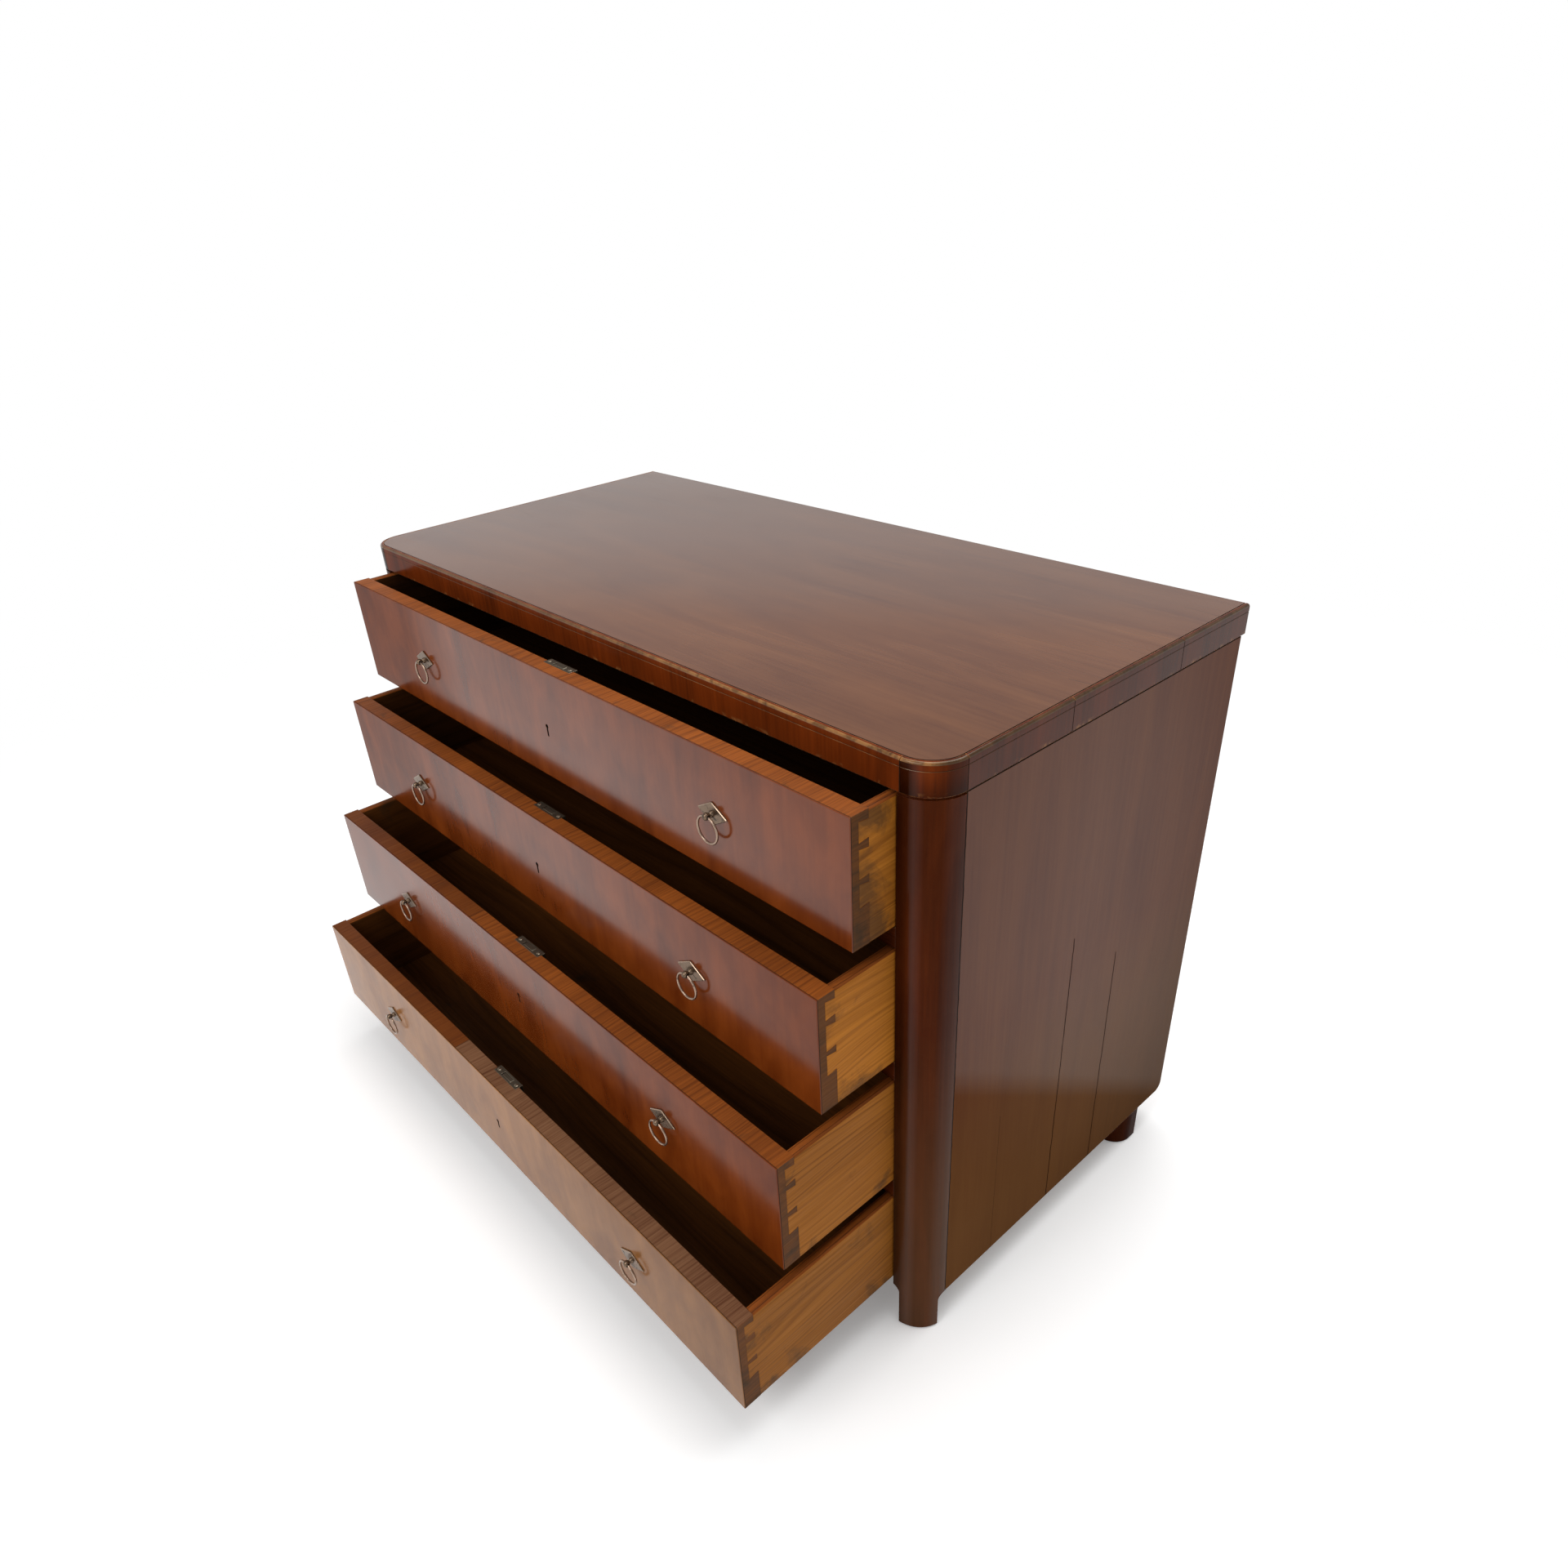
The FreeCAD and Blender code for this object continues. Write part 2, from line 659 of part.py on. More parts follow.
def tail_edges(base, high, shares, shoulder, end):
    """The stepped edge of a board's end with dovetails, from the bottom up."""
    points = []
    for low_share, high_share in shares:
        low = base + high * low_share
        top = base + high * high_share
        points += [
            (shoulder, low + size.tail_flare),
            (end, low),
            (end, top),
            (shoulder, top - size.tail_flare),
        ]
    return points


def make_drawer_front(number, spot):
    """A drawer front with blind dovetail sockets, a groove, a lock recess, keyhole and stud holes."""
    body = new_body(f"drawer_{number}_front")
    high = drawer_high[number]
    thick = size.front_thick
    pad(body, "XZ_Plane", zero, 1, thick, rectangle(-drawer_half, zero, drawer_half, high))
    dress_edges(body, "Fillet", "Radius", size.front_arris, lambda edge: lies_at(edge, "y", zero))
    for outward in (-1, 1):
        sockets = []
        for share in TAIL_SHARES:
            past = thick + size.overrun
            tail = tail_edges(zero, high, [share], thick, size.lap)
            sockets.append([(past, tail[0][1])] + tail + [(past, tail[-1][1])])
        cut(body, "YZ_Plane", drawer_half * outward, -outward, size.drawer_side_thick, *sockets)
    low = size.drawer_bottom_lift
    top = low + size.drawer_bottom_thick
    groove = rectangle(thick - size.groove_deep, low, thick + size.overrun, top)
    reach = drawer_half - size.drawer_side_thick + size.groove_deep
    cut(body, "YZ_Plane", -reach, 1, reach * 2, groove)
    lock_low = high - size.lock_high
    lock_left = size.lock_place - size.lock_wide / 2
    recess = rectangle(lock_left, lock_low, lock_left + size.lock_wide, high + size.overrun)
    cut(body, "XZ_Plane", thick, -1, size.lock_inlet, recess)
    cut_keyhole(body, high, zero, thick)
    pull_z = high - size.pull_drop
    hole = size.stud_wide + size.stud_play * 2
    drill(body, "XZ_Plane", zero, 1, thick, hole, (-size.pull_place, pull_z), (size.pull_place, pull_z))
    place(body, *spot)
    node(body, f"drawer_{number}_front")


def cut_keyhole(body, high, start, depth):
    """A round head over a slot with a round foot."""
    key_top = high - size.key_drop + size.key_high / 2
    head_z = key_top - size.key_head / 2
    foot_z = key_top - size.key_high + size.key_slot / 2
    half_slot = size.key_slot / 2
    drill(body, "XZ_Plane", start, 1, depth, size.key_head, (zero, head_z))
    slot = [
        (-half_slot, head_z),
        (-half_slot, foot_z),
        (zero, foot_z - half_slot, half_slot, zero, foot_z),
        (half_slot, foot_z, half_slot, zero, foot_z),
        (half_slot, head_z),
    ]
    cut(body, "XZ_Plane", start, 1, depth, slot)


def make_drawer_side(number, outward, name, spot):
    """A drawer side: blind tails in front, through tails behind, a groove for the bottom inside."""
    body = new_body(f"drawer_{number}_side_{name}")
    high = drawer_high[number]
    side_high = high - size.drawer_side_drop
    shoulder = size.front_thick
    rear_shoulder = drawer_long - size.drawer_back_thick
    front_edge = tail_edges(zero, high, TAIL_SHARES, shoulder, size.lap)
    rear_edge = tail_edges(zero, high, REAR_TAIL_SHARES, rear_shoulder, drawer_long)
    back_low = size.drawer_bottom_lift + size.drawer_bottom_thick
    back_high = high - size.drawer_back_drop
    outline = [(shoulder, zero)] + front_edge + [(shoulder, side_high), (drawer_long, side_high)]
    outline += [(drawer_long, back_high), (rear_shoulder, back_high)] + rear_edge[::-1]
    outline += [(rear_shoulder, back_low), (drawer_long, back_low), (drawer_long, zero)]
    pad(body, "YZ_Plane", drawer_half * outward, -outward, size.drawer_side_thick, outline)
    inside = drawer_half - size.drawer_side_thick
    low = size.drawer_bottom_lift
    top = low + size.drawer_bottom_thick
    groove = rectangle(inside * outward, low, (inside + size.groove_deep) * outward, top)
    cut(body, "XZ_Plane", zero, 1, drawer_long + size.overrun, groove)
    place(body, *spot)
    node(body, f"drawer_{number}_side_{name}")


def make_drawer_back(number, spot):
    """A drawer back on top of the bottom, its pins between the sides' through tails."""
    body = new_body(f"drawer_{number}_back")
    high = drawer_high[number]
    front = drawer_long - size.drawer_back_thick
    low = size.drawer_bottom_lift + size.drawer_bottom_thick
    outline = rectangle(-drawer_half, low, drawer_half, high - size.drawer_back_drop)
    pad(body, "XZ_Plane", front, 1, size.drawer_back_thick, outline)
    for outward in (-1, 1):
        sockets = []
        for share in REAR_TAIL_SHARES:
            tail = tail_edges(zero, high, [share], front, drawer_long)
            sockets.append(tail)
        cut(body, "YZ_Plane", drawer_half * outward, -outward, size.drawer_side_thick, *sockets)
    place(body, *spot)
    node(body, f"drawer_{number}_back")


def make_drawer_bottom(number, spot):
    """A thin board held in the grooves of the front and sides."""
    reach = drawer_half - size.drawer_side_thick + size.groove_deep - size.groove_play
    low = (-reach, size.front_thick - size.groove_deep + size.groove_play, size.drawer_bottom_lift)
    high = (reach, drawer_long, size.drawer_bottom_lift + size.drawer_bottom_thick)
    low = tuple(a + b for a, b in zip(low, spot))
    high = tuple(a + b for a, b in zip(high, spot))
    node(block(f"drawer_{number}_bottom", low, high), f"drawer_{number}_bottom")


def make_lock(number, spot):
    """A lock case let into the front, with a well for its bolt and a keyhole."""
    body = new_body(f"lock_{number}")
    high = drawer_high[number]
    low = high - size.lock_high
    front = size.front_thick - size.lock_inlet
    left = size.lock_place - size.lock_wide / 2
    right = size.lock_place + size.lock_wide / 2
    radius = size.lock_round
    outline = [
        (left, high),
        (left, low + radius),
        (left + radius, low, radius, left + radius, low + radius),
        (right - radius, low),
        (right, low + radius, radius, right - radius, low + radius),
        (right, high),
    ]
    pad(body, "XZ_Plane", front, 1, size.lock_thick, outline)
    middle = front + size.lock_thick / 2
    well = rectangle(
        size.lock_place - size.bolt_wide / 2 - size.bolt_gap,
        middle - size.bolt_thick / 2 - size.bolt_gap,
        size.lock_place + size.bolt_wide / 2 + size.bolt_gap,
        middle + size.bolt_thick / 2 + size.bolt_gap,
    )
    cut(body, "XY_Plane", high, -1, size.bolt_high + size.bolt_gap, well)
    cut_keyhole(body, high, front, size.key_deep)
    place(body, *spot)
    node(body, f"lock_{number}")


def make_bolt(number, spot):
    """A sliding bolt, flush with the lock's top when it is drawn."""
    body = new_body(f"bolt_{number}")
    high = drawer_high[number]
    low = high - size.bolt_high
    left = size.lock_place - size.bolt_wide / 2
    right = size.lock_place + size.bolt_wide / 2
    radius = size.bolt_round
    outline = [
        (left, low),
        (right, low),
        (right, high - radius),
        (right - radius, high, radius, right - radius, high - radius),
        (left + radius, high),
        (left, high - radius, radius, left + radius, high - radius),
    ]
    front = size.front_thick - size.lock_inlet + size.lock_thick / 2 - size.bolt_thick / 2
    pad(body, "XZ_Plane", front, 1, size.bolt_thick, outline)
    place(body, *spot)
    node(body, f"bolt_{number}")


def make_pull(number, name, x, z):
    """A lozenge plate with a domed collar, a neck, a drilled eye and a stud through the front."""
    body = new_body(f"pull_{name}_{number}")
    half_wide = size.plate_wide / 2
    half_high = size.plate_high / 2
    tip = size.plate_tip / 2
    lozenge = [
        (-half_wide, -tip),
        (-tip, -half_high),
        (tip, -half_high),
        (half_wide, -tip),
        (half_wide, tip),
        (tip, half_high),
        (-tip, half_high),
        (-half_wide, tip),
    ]
    pad(body, "XZ_Plane", zero, -1, size.plate_thick, lozenge)
    face = -size.plate_thick
    dress_edges(body, "Chamfer", "Size", size.plate_bevel, lambda edge: lies_at(edge, "y", face))
    stud = size.stud_wide / 2
    collar = size.collar_wide / 2
    neck = size.neck_wide / 2
    eye = size.eye_wide / 2
    reach = size.front_thick + size.nut_thick + size.stud_end
    profile = [
        (zero, reach),
        (stud, reach),
        (stud, face),
        (collar, face),
        (neck, face - leg(collar, neck), collar, zero, face),
        (neck, leg(eye, neck) - size.eye_out),
        (eye, -size.eye_out, eye, zero, -size.eye_out),
        (zero, -size.eye_out - eye, eye, zero, -size.eye_out),
    ]
    sketch = new_sketch(body, "XY_Plane", zero)
    draw_outline(sketch, profile)
    feature = body.newObject("PartDesign::Revolution", "Revolution")
    feature.Profile = sketch
    feature.ReferenceAxis = (sketch, ["V_Axis"])
    feature.Angle = 360
    doc.recompute()
    past = eye + size.overrun
    drill(body, "YZ_Plane", -past, 1, past * 2, size.eye_hole, (-size.eye_out, zero))
    place(body, x, zero, z)
    return body


def make_nut(number, name, x, z):
    """A square nut on the pull's stud, inside the drawer."""
    half = size.nut_wide / 2
    start = size.front_thick
    corner = (x + half, start + size.nut_thick, z + half)
    square = block(f"nut_square_{name}_{number}", (x - half, start, z - half), corner)
    hole = doc.addObject("Part::Cylinder", f"nut_hole_{name}_{number}")
    bind(hole, "Radius", size.stud_wide / 2 + size.thread_play)
    bind(hole, "Height", size.nut_thick + size.overrun * 2)
    hole.Placement.Rotation = FreeCAD.Rotation(FreeCAD.Vector(1, 0, 0), -90)
    place(hole, x, start - size.overrun, z)
    nut = doc.addObject("Part::Cut", f"nut_{name}_{number}")
    nut.Base = square
    nut.Tool = hole
    return nut


def make_pulls(number, spot):
    """Both pulls of a drawer with their nuts, and a loose ring through each eye."""
    pieces = []
    z = drawer_high[number] - size.pull_drop
    for outward, name in ((-1, "left"), (1, "right")):
        x = size.pull_place * outward
        pieces.append(make_pull(number, name, x, z))
        pieces.append(make_nut(number, name, x, z))
        ring = doc.addObject("Part::Torus", f"ring_{name}_{number}")
        bind(ring, "Radius1", size.ring_wide / 2)
        bind(ring, "Radius2", size.ring_wire / 2)
        ring.Placement.Rotation = FreeCAD.Rotation(FreeCAD.Vector(1, 0, 0), 90)
        place(ring, spot[0] + x, spot[1] - size.eye_out, spot[2] + z - size.ring_wide / 2)
        node(ring, f"ring_{name}_{number}")
    doc.recompute()
    place(group(f"pulls_{number}", pieces), *spot)


def make_carcass():
    make_top_board()
    make_top_edging()
    make_top_corners()
    for outward, name in ((-1, "left"), (1, "right")):
        make_post(outward, name)
        make_side(outward, name)
        make_runners(outward, name)
        make_rear_foot(outward, name)
    for number in (1, 2, 3):
        make_rail(number)
    make_bottom_board()
    make_back_boards()
    make_drawer_stops()


def make_drawer(number):
    spot = (zero, front_plane - opening[number], drawer_low[number])
    make_drawer_front(number, spot)
    make_drawer_side(number, -1, "left", spot)
    make_drawer_side(number, 1, "right", spot)
    make_drawer_back(number, spot)
    make_drawer_bottom(number, spot)
    make_lock(number, spot)
    make_bolt(number, spot)
    make_pulls(number, spot)


def write_parts():
    """Check every object, then write each sub-part to its file."""
    doc.recompute()
    for thing in doc.Objects:
        if "Invalid" in thing.State or "Error" in thing.State:
            raise RuntimeError(f"{thing.Label} is {thing.State}")
    for thing in nodes:
        if thing.Shape.isNull() or not thing.Shape.isValid() or not thing.Shape.Solids:
            raise RuntimeError(f"{thing.Label} has no valid solid")
    for thing in nodes:
        thing.Shape.exportStep(f"parts/{thing.Label}.step")


make_carcass()
for number in (1, 2, 3, 4):
    make_drawer(number)
write_parts()
print(len(nodes), "sub-parts, height", height.value)
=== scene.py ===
"""A polished mahogany chest of four drawers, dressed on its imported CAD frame.

Everything is in metres, +Z up, and the front looks along -Y, as in the frame.
"""
import json
import math

import bpy
from mathutils import Matrix, Vector

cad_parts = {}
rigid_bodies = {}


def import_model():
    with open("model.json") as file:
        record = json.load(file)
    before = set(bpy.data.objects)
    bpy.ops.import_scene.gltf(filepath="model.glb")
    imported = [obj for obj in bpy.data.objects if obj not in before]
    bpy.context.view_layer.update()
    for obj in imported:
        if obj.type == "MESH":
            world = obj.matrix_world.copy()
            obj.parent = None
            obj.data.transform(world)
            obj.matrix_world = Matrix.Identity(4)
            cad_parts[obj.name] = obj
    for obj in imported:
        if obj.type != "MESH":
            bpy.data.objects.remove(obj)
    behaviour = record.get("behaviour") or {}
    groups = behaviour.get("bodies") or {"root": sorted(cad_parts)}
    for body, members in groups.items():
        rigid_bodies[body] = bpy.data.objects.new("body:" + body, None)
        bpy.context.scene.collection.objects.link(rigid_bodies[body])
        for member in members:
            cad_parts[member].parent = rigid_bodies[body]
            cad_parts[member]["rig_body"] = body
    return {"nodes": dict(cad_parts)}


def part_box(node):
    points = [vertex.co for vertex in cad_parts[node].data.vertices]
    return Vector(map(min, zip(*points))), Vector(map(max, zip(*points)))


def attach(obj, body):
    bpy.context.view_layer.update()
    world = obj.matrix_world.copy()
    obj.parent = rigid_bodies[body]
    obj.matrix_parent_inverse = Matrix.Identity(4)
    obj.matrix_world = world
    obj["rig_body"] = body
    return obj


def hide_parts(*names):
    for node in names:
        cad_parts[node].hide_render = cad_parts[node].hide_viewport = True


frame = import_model()

bl_info = {
    "name": "Mahogany chest of drawers",
    "version": (1, 0, 0),
    "blender": (4, 5, 0),
    "location": "3D View > Sidebar > Chest",
    "description": "Dresses the CAD frame of a chest of four drawers and sets it in a studio",
    "category": "Object",
}

MM = 0.001
RIGHT = (1.0, 0.0, 0.0)
REAR = (0.0, 1.0, 0.0)
UP = (0.0, 0.0, 1.0)
DRAWERS = (1, 2, 3, 4)
HANDS = ("left", "right")
BACK_BOARDS = 5

# Turns that bring a grain direction onto the X axis of a pattern
GRAIN_TURN = {
    "x": (0.0, 0.0, 0.0),
    "y": (0.0, 0.0, math.radians(-90.0)),
    "z": (0.0, math.radians(90.0), 0.0),
}

# Turns what faces up to face the rear
REARWARD = Matrix.Rotation(math.radians(-90.0), 4, "X")


def colour(name, note, red, green, blue):
    """A colour property whose default is written as the screen shows it, in 0 to 255."""
    value = []
    for part in (red, green, blue):
        share = part / 255.0
        value.append(share / 12.92 if share <= 0.04045 else ((share + 0.055) / 1.055) ** 2.4)
    return bpy.props.FloatVectorProperty(
        name=name, description=note, subtype="COLOR", size=3, min=0.0, max=1.0, default=value
    )


def length(name, note, default):
    return bpy.props.FloatProperty(
        name=name, description=note, subtype="DISTANCE", unit="LENGTH", min=0.0, default=default
    )


def amount(name, note, default):
    return bpy.props.FloatProperty(name=name, description=note, min=0.0, default=default)


class ChestFinish(bpy.types.PropertyGroup):
    """Colours of the woods and metals."""

    veneer_deep: colour("Veneer, deep", "Dark streaks of the polished drawer fronts", 86, 33, 6)
    veneer_clear: colour("Veneer, clear", "Lighter wood of the polished drawer fronts", 130, 61, 19)
    # The lowest front's pale veneer stands partly for a painted reflection of the floor, laid in place of a
    # coat
    pale_deep: colour("Pale veneer, deep", "Dark streaks of the paler lowest front", 127, 78, 37)
    pale_clear: colour("Pale veneer, clear", "Lighter wood of the paler lowest front", 166, 112, 60)
    top_deep: colour("Top, deep", "Dark streaks of the top", 85, 45, 26)
    top_clear: colour("Top, clear", "Lighter wood of the top", 111, 67, 38)
    side_deep: colour("Sides, deep", "Dark streaks of the sides", 86, 41, 18)
    side_clear: colour("Sides, clear", "Lighter wood of the sides", 104, 57, 27)
    # The golden colour is a painted reflection of the floor, laid low on the sides and posts
    golden: colour("Golden wood", "Sun-faded wood low on the sides and posts", 110, 80, 46)
    post_deep: colour("Posts, deep", "Dark streaks of the posts and feet", 46, 16, 5)
    post_clear: colour("Posts, clear", "Lighter wood of the posts and feet", 86, 35, 10)
    band_deep: colour("Band, deep", "Dark streaks of the band round the top", 66, 25, 7)
    band_clear: colour("Band, clear", "Lighter wood of the band round the top", 124, 51, 13)
    lip_deep: colour("Lip, deep", "Dark streaks of the rubbed lip round the top", 66, 40, 20)
    lip_clear: colour("Lip, clear", "Lighter wood of the rubbed lip round the top", 116, 78, 42)
    rubbed: colour("Rubbed arris", "Wood laid bare on rubbed arrises", 152, 104, 58)
    edge_deep: colour("Front edges, deep", "Dark grain on the drawer fronts' edges", 68, 28, 7)
    edge_clear: colour("Front edges, clear", "Light grain on the drawer fronts' edges", 148, 79, 27)
    edge_grey: colour("Front edge, grey", "Greyed wood on the lowest front's edge", 132, 94, 66)
    pine_deep: colour("Pine, deep", "Dark streaks of the drawer sides", 106, 58, 12)
    pine_clear: colour("Pine, clear", "Pale wood of the drawer sides", 184, 115, 36)
    inside_deep: colour("Inside, deep", "Dark grain inside the drawers", 50, 25, 8)
    inside_clear: colour("Inside, clear", "Light grain inside the drawers", 116, 67, 26)
    carcass_deep: colour("Carcass, deep", "Dark grain of the unpolished carcass wood", 66, 42, 20)
    carcass_clear: colour("Carcass, clear", "Light grain of the unpolished carcass wood", 134, 96, 56)
    grime: colour("Grime", "Old dirt on the bare wood", 56, 42, 28)
    joint_deep: colour("Joint dirt", "Dirt and glue in the joints", 20, 9, 5)
    joint_clear: colour("Joint wood", "Stained wood beside the dirt of the joints", 44, 27, 15)
    steel: colour("Lock steel", "Aged steel of the locks", 94, 87, 74)
    bright_steel: colour("Rubbed steel", "Steel laid bare on the locks' edges", 150, 138, 120)
    rust: colour("Rust", "Rust on the locks", 66, 50, 36)
    brass: colour("Pull brass", "Aged brass of the pulls", 116, 96, 78)
    bright_brass: colour("Rubbed brass", "Brass laid bare on the pulls' edges", 166, 142, 122)
    ring_brass: colour("Ring brass", "Brass of the rings, kept bright by hands", 158, 134, 116)
    tarnish: colour("Tarnish", "Dark tarnish in the hollows of the brass", 50, 40, 28)


class ChestDetail(bpy.types.PropertyGroup):
    """Sizes of the small forms that wear and hands have made."""

    rub: length("Rubbed arris", "Width worn from the polished arrises", 1.0 * MM)
    saw_arris: length("Sawn arris", "Width worn from the bare wood's arrises", 1.4 * MM)
    metal_arris: length("Metal arris", "Width worn from the metal's edges", 0.35 * MM)
    ring_wear: length("Ring wear", "How much the eye has worn from the ring", 0.3 * MM)
    veneer: length("Veneer", "Thickness of the veneer on the drawer fronts", 0.9 * MM)
    glue: length("Glue line", "Thickness of the glue line behind the veneer", 0.8 * MM)
    seam: length("Seam", "Width of the open seams in the veneer", 0.7 * MM)
    nail: length("Nail head", "Diameter of a nail's head", 7.0 * MM)
    nail_inset: length("Nail inset", "Distance of the nails from the ends of the back boards", 18.0 * MM)
    screw: length("Screw head", "Diameter of a screw's head", 6.0 * MM)
    side_round: length("Side rounding", "Radius of the drawer sides' upper arrises", 2.6 * MM)
    chips: length("Chips", "Height of the chips along the band's lower arris", 6.0 * MM)
    key_drop: length("Keyhole drop", "Front's upper edge to the middle of its keyhole", 82.0 * MM)
    wood_merge: length("Merge distance", "Distance under which a copy's points join", 0.01 * MM)


class ChestStudio(bpy.types.PropertyGroup):
    """Light, floor and camera."""

    floor_wide: length("Floor", "Width of the floor", 40.0)
    white_round: length("White floor", "Distance from the chest beyond which the floor is plain white", 2.6)
    key_power: amount("Key lamp", "Power of the main soft lamp in watts", 102.0)
    fill_power: amount("Fill lamp", "Power of the soft lamp beside the camera in watts", 42.0)
    sky: amount("Sky light", "Strength of the even light from all round", 0.51)
    lens: amount("Lens", "Focal length in millimetres on a 36 mm sensor", 24.845)


def finish():
    return bpy.context.scene.chest_finish


def detail():
    return bpy.context.scene.chest_detail


def studio():
    return bpy.context.scene.chest_studio


# Selecting and editing

def deselect():
    bpy.ops.object.select_all(action="DESELECT")


def take(piece):
    """Make a piece the only one selected, and active."""
    deselect()
    piece.select_set(True)
    bpy.context.view_layer.objects.active = piece


def mark(piece, kind, test):
    """In object mode, select only those faces, edges or vertices that pass a test."""
    mesh = piece.data
    for items in (mesh.vertices, mesh.edges, mesh.polygons):
        items.foreach_set("select", [False] * len(items))
    items = {"VERT": mesh.vertices, "EDGE": mesh.edges, "FACE": mesh.polygons}[kind]
    chosen = [bool(test(item)) for item in items]
    if not any(chosen):
        raise RuntimeError(f"nothing of {piece.name} is selected")
    items.foreach_set("select", chosen)


def edit(piece, kind, test):
    """Open a piece for editing with the parts that pass a test selected."""
    take(piece)
    bpy.ops.object.mode_set(mode="EDIT")
    bpy.ops.mesh.select_mode(type=kind)
    bpy.ops.mesh.select_all(action="DESELECT")
    bpy.ops.object.mode_set(mode="OBJECT")
    mark(piece, kind, test)
    bpy.ops.object.mode_set(mode="EDIT")


def close():
    bpy.ops.object.mode_set(mode="OBJECT")


def settle(piece):
    """Put a piece's place and turn into its mesh."""
    take(piece)
    bpy.ops.object.transform_apply(location=True, rotation=True, scale=True)


def smooth(piece, degrees):
    take(piece)
    bpy.ops.object.shade_smooth_by_angle(angle=math.radians(degrees))


def apply_modifier(piece, modifier):
    take(piece)
    bpy.ops.object.modifier_apply(modifier=modifier.name)


def join(pieces, name):
    """Join pieces into the first one."""
    deselect()
    for piece in pieces:
        piece.select_set(True)
    bpy.context.view_layer.objects.active = pieces[0]
    bpy.ops.object.join()
    pieces[0].name = name
    pieces[0].data.name = name
    return pieces[0]


def place_object(name, data):
    item = bpy.data.objects.new(name, data)
    bpy.context.scene.collection.objects.link(item)
    return item


def twin(piece, name, shift, turn=Matrix()):
    """A copy of a piece with its own mesh, turned and moved."""
    mesh = piece.data.copy()
    mesh.name = name
    mesh.transform(Matrix.Translation(Vector(shift)) @ turn)
    return place_object(name, mesh)


def middle(box):
    return (box[0] + box[1]) / 2


def outer_face(low, high):
    """Where the outer face of a piece of the left or right side stands across the chest."""
    return high.x if high.x > 0 else low.x


# Pieces taken from the frame

def copy_of(node_name, name):
    """A copy of a CAD node's mesh with its points merged and its flat faces made whole."""
    mesh = frame["nodes"][node_name].data.copy()
    mesh.materials.clear()
    mesh.name = name
    piece = place_object(name, mesh)
    take(piece)
    bpy.ops.mesh.customdata_custom_splitnormals_clear()
    bpy.ops.object.mode_set(mode="EDIT")
    bpy.ops.mesh.select_all(action="SELECT")
    bpy.ops.mesh.remove_doubles(threshold=detail().wood_merge)
    bpy.ops.mesh.mark_sharp(clear=True)
    bpy.ops.mesh.dissolve_limited(angle_limit=math.radians(0.4))
    bpy.ops.object.mode_set(mode="OBJECT")
    return piece


def soften(piece, width, arris_slot, segments=3):
    """Round the sharp edges of a piece, with a material of their own."""
    smooth(piece, 35.0)
    bevel = piece.modifiers.new("Arrises", "BEVEL")
    bevel.width = width
    bevel.segments = segments
    bevel.limit_method = "ANGLE"
    bevel.angle_limit = math.radians(40.0)
    bevel.material = arris_slot
    bevel.use_clamp_overlap = True
    bevel.harden_normals = True
    apply_modifier(piece, bevel)


def finish_with(piece, materials, choose=None):
    """Give a piece its materials, and each face the one that a rule names by its slot."""
    piece.data.materials.clear()
    for material in materials:
        piece.data.materials.append(material)
    for face in piece.data.polygons:
        face.material_index = choose(face) if choose else 0


def recolour(piece, old_slot, new_slot, test):
    """Give the faces of one material that pass a test another."""
    for face in piece.data.polygons:
        if face.material_index == old_slot and test(face):
            face.material_index = new_slot


def score(piece, depths):
    """Cut a piece's faces across at some depths, so that each layer can have its own material."""
    for depth in depths:
        edit(piece, "FACE", lambda face: True)
        bpy.ops.mesh.bisect(plane_co=(0.0, depth, 0.0), plane_no=REAR)
        close()


def round_over(piece, radius, test):
    """Round the long straight edges whose two ends pass a test."""
    points = piece.data.vertices

    def chosen(edge):
        start, end = (points[index].co for index in edge.vertices)
        return (end - start).length > 50 * MM and test(start) and test(end)

    edit(piece, "EDGE", chosen)
    bpy.ops.mesh.bevel(offset=radius, segments=4, affect="EDGES", clamp_overlap=True)
    close()


def dress(node_name, slot, materials, width, choose=None, arris_slot=-1, depths=(), rounding=None):
    """A softened copy of a CAD node in its place."""
    piece = copy_of(node_name, "worn_" + node_name)
    score(piece, depths)
    if rounding:
        round_over(piece, *rounding)
    finish_with(piece, materials, choose)
    soften(piece, width, arris_slot)
    seat(piece, frame["nodes"][node_name]["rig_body"], slot, node_name)
    return piece


def seat(piece, body, slot, *node_names):
    """Let a piece ride on its body and stand for its CAD nodes."""
    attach(piece, body)
    if node_names:
        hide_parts(*node_names)


# Node trees

def add(tree, kind, **values):
    node = tree.nodes.new(kind)
    for name, value in values.items():
        setattr(node, name, value)
    return node


def feed(node, socket, value):
    """Set an input socket, or link it when the value is a socket."""
    if isinstance(value, bpy.types.NodeSocket):
        node.id_data.links.new(value, node.inputs[socket])
    else:
        node.inputs[socket].default_value = value


def fed(tree, kind, *values, **settings):
    """A node whose inputs are set or linked in their order."""
    node = add(tree, kind, **settings)
    for socket, value in enumerate(values):
        feed(node, socket, value)
    return node


def vectors(tree, operation, one, other):
    """Two vectors, or a vector and a scale, reckoned into a vector or a number."""
    node = add(tree, "ShaderNodeVectorMath", operation=operation)
    feed(node, 0, one)
    feed(node, "Scale" if operation == "SCALE" else 1, other)
    return node.outputs["Value" if operation in ("DOT_PRODUCT", "DISTANCE") else "Vector"]


def noise(tree, vector, scale, fineness, roughness, distortion=0.0):
    node = add(tree, "ShaderNodeTexNoise")
    feed(node, "Vector", vector)
    feed(node, "Scale", scale)
    feed(node, "Detail", fineness)
    feed(node, "Roughness", roughness)
    feed(node, "Distortion", distortion)
    return node


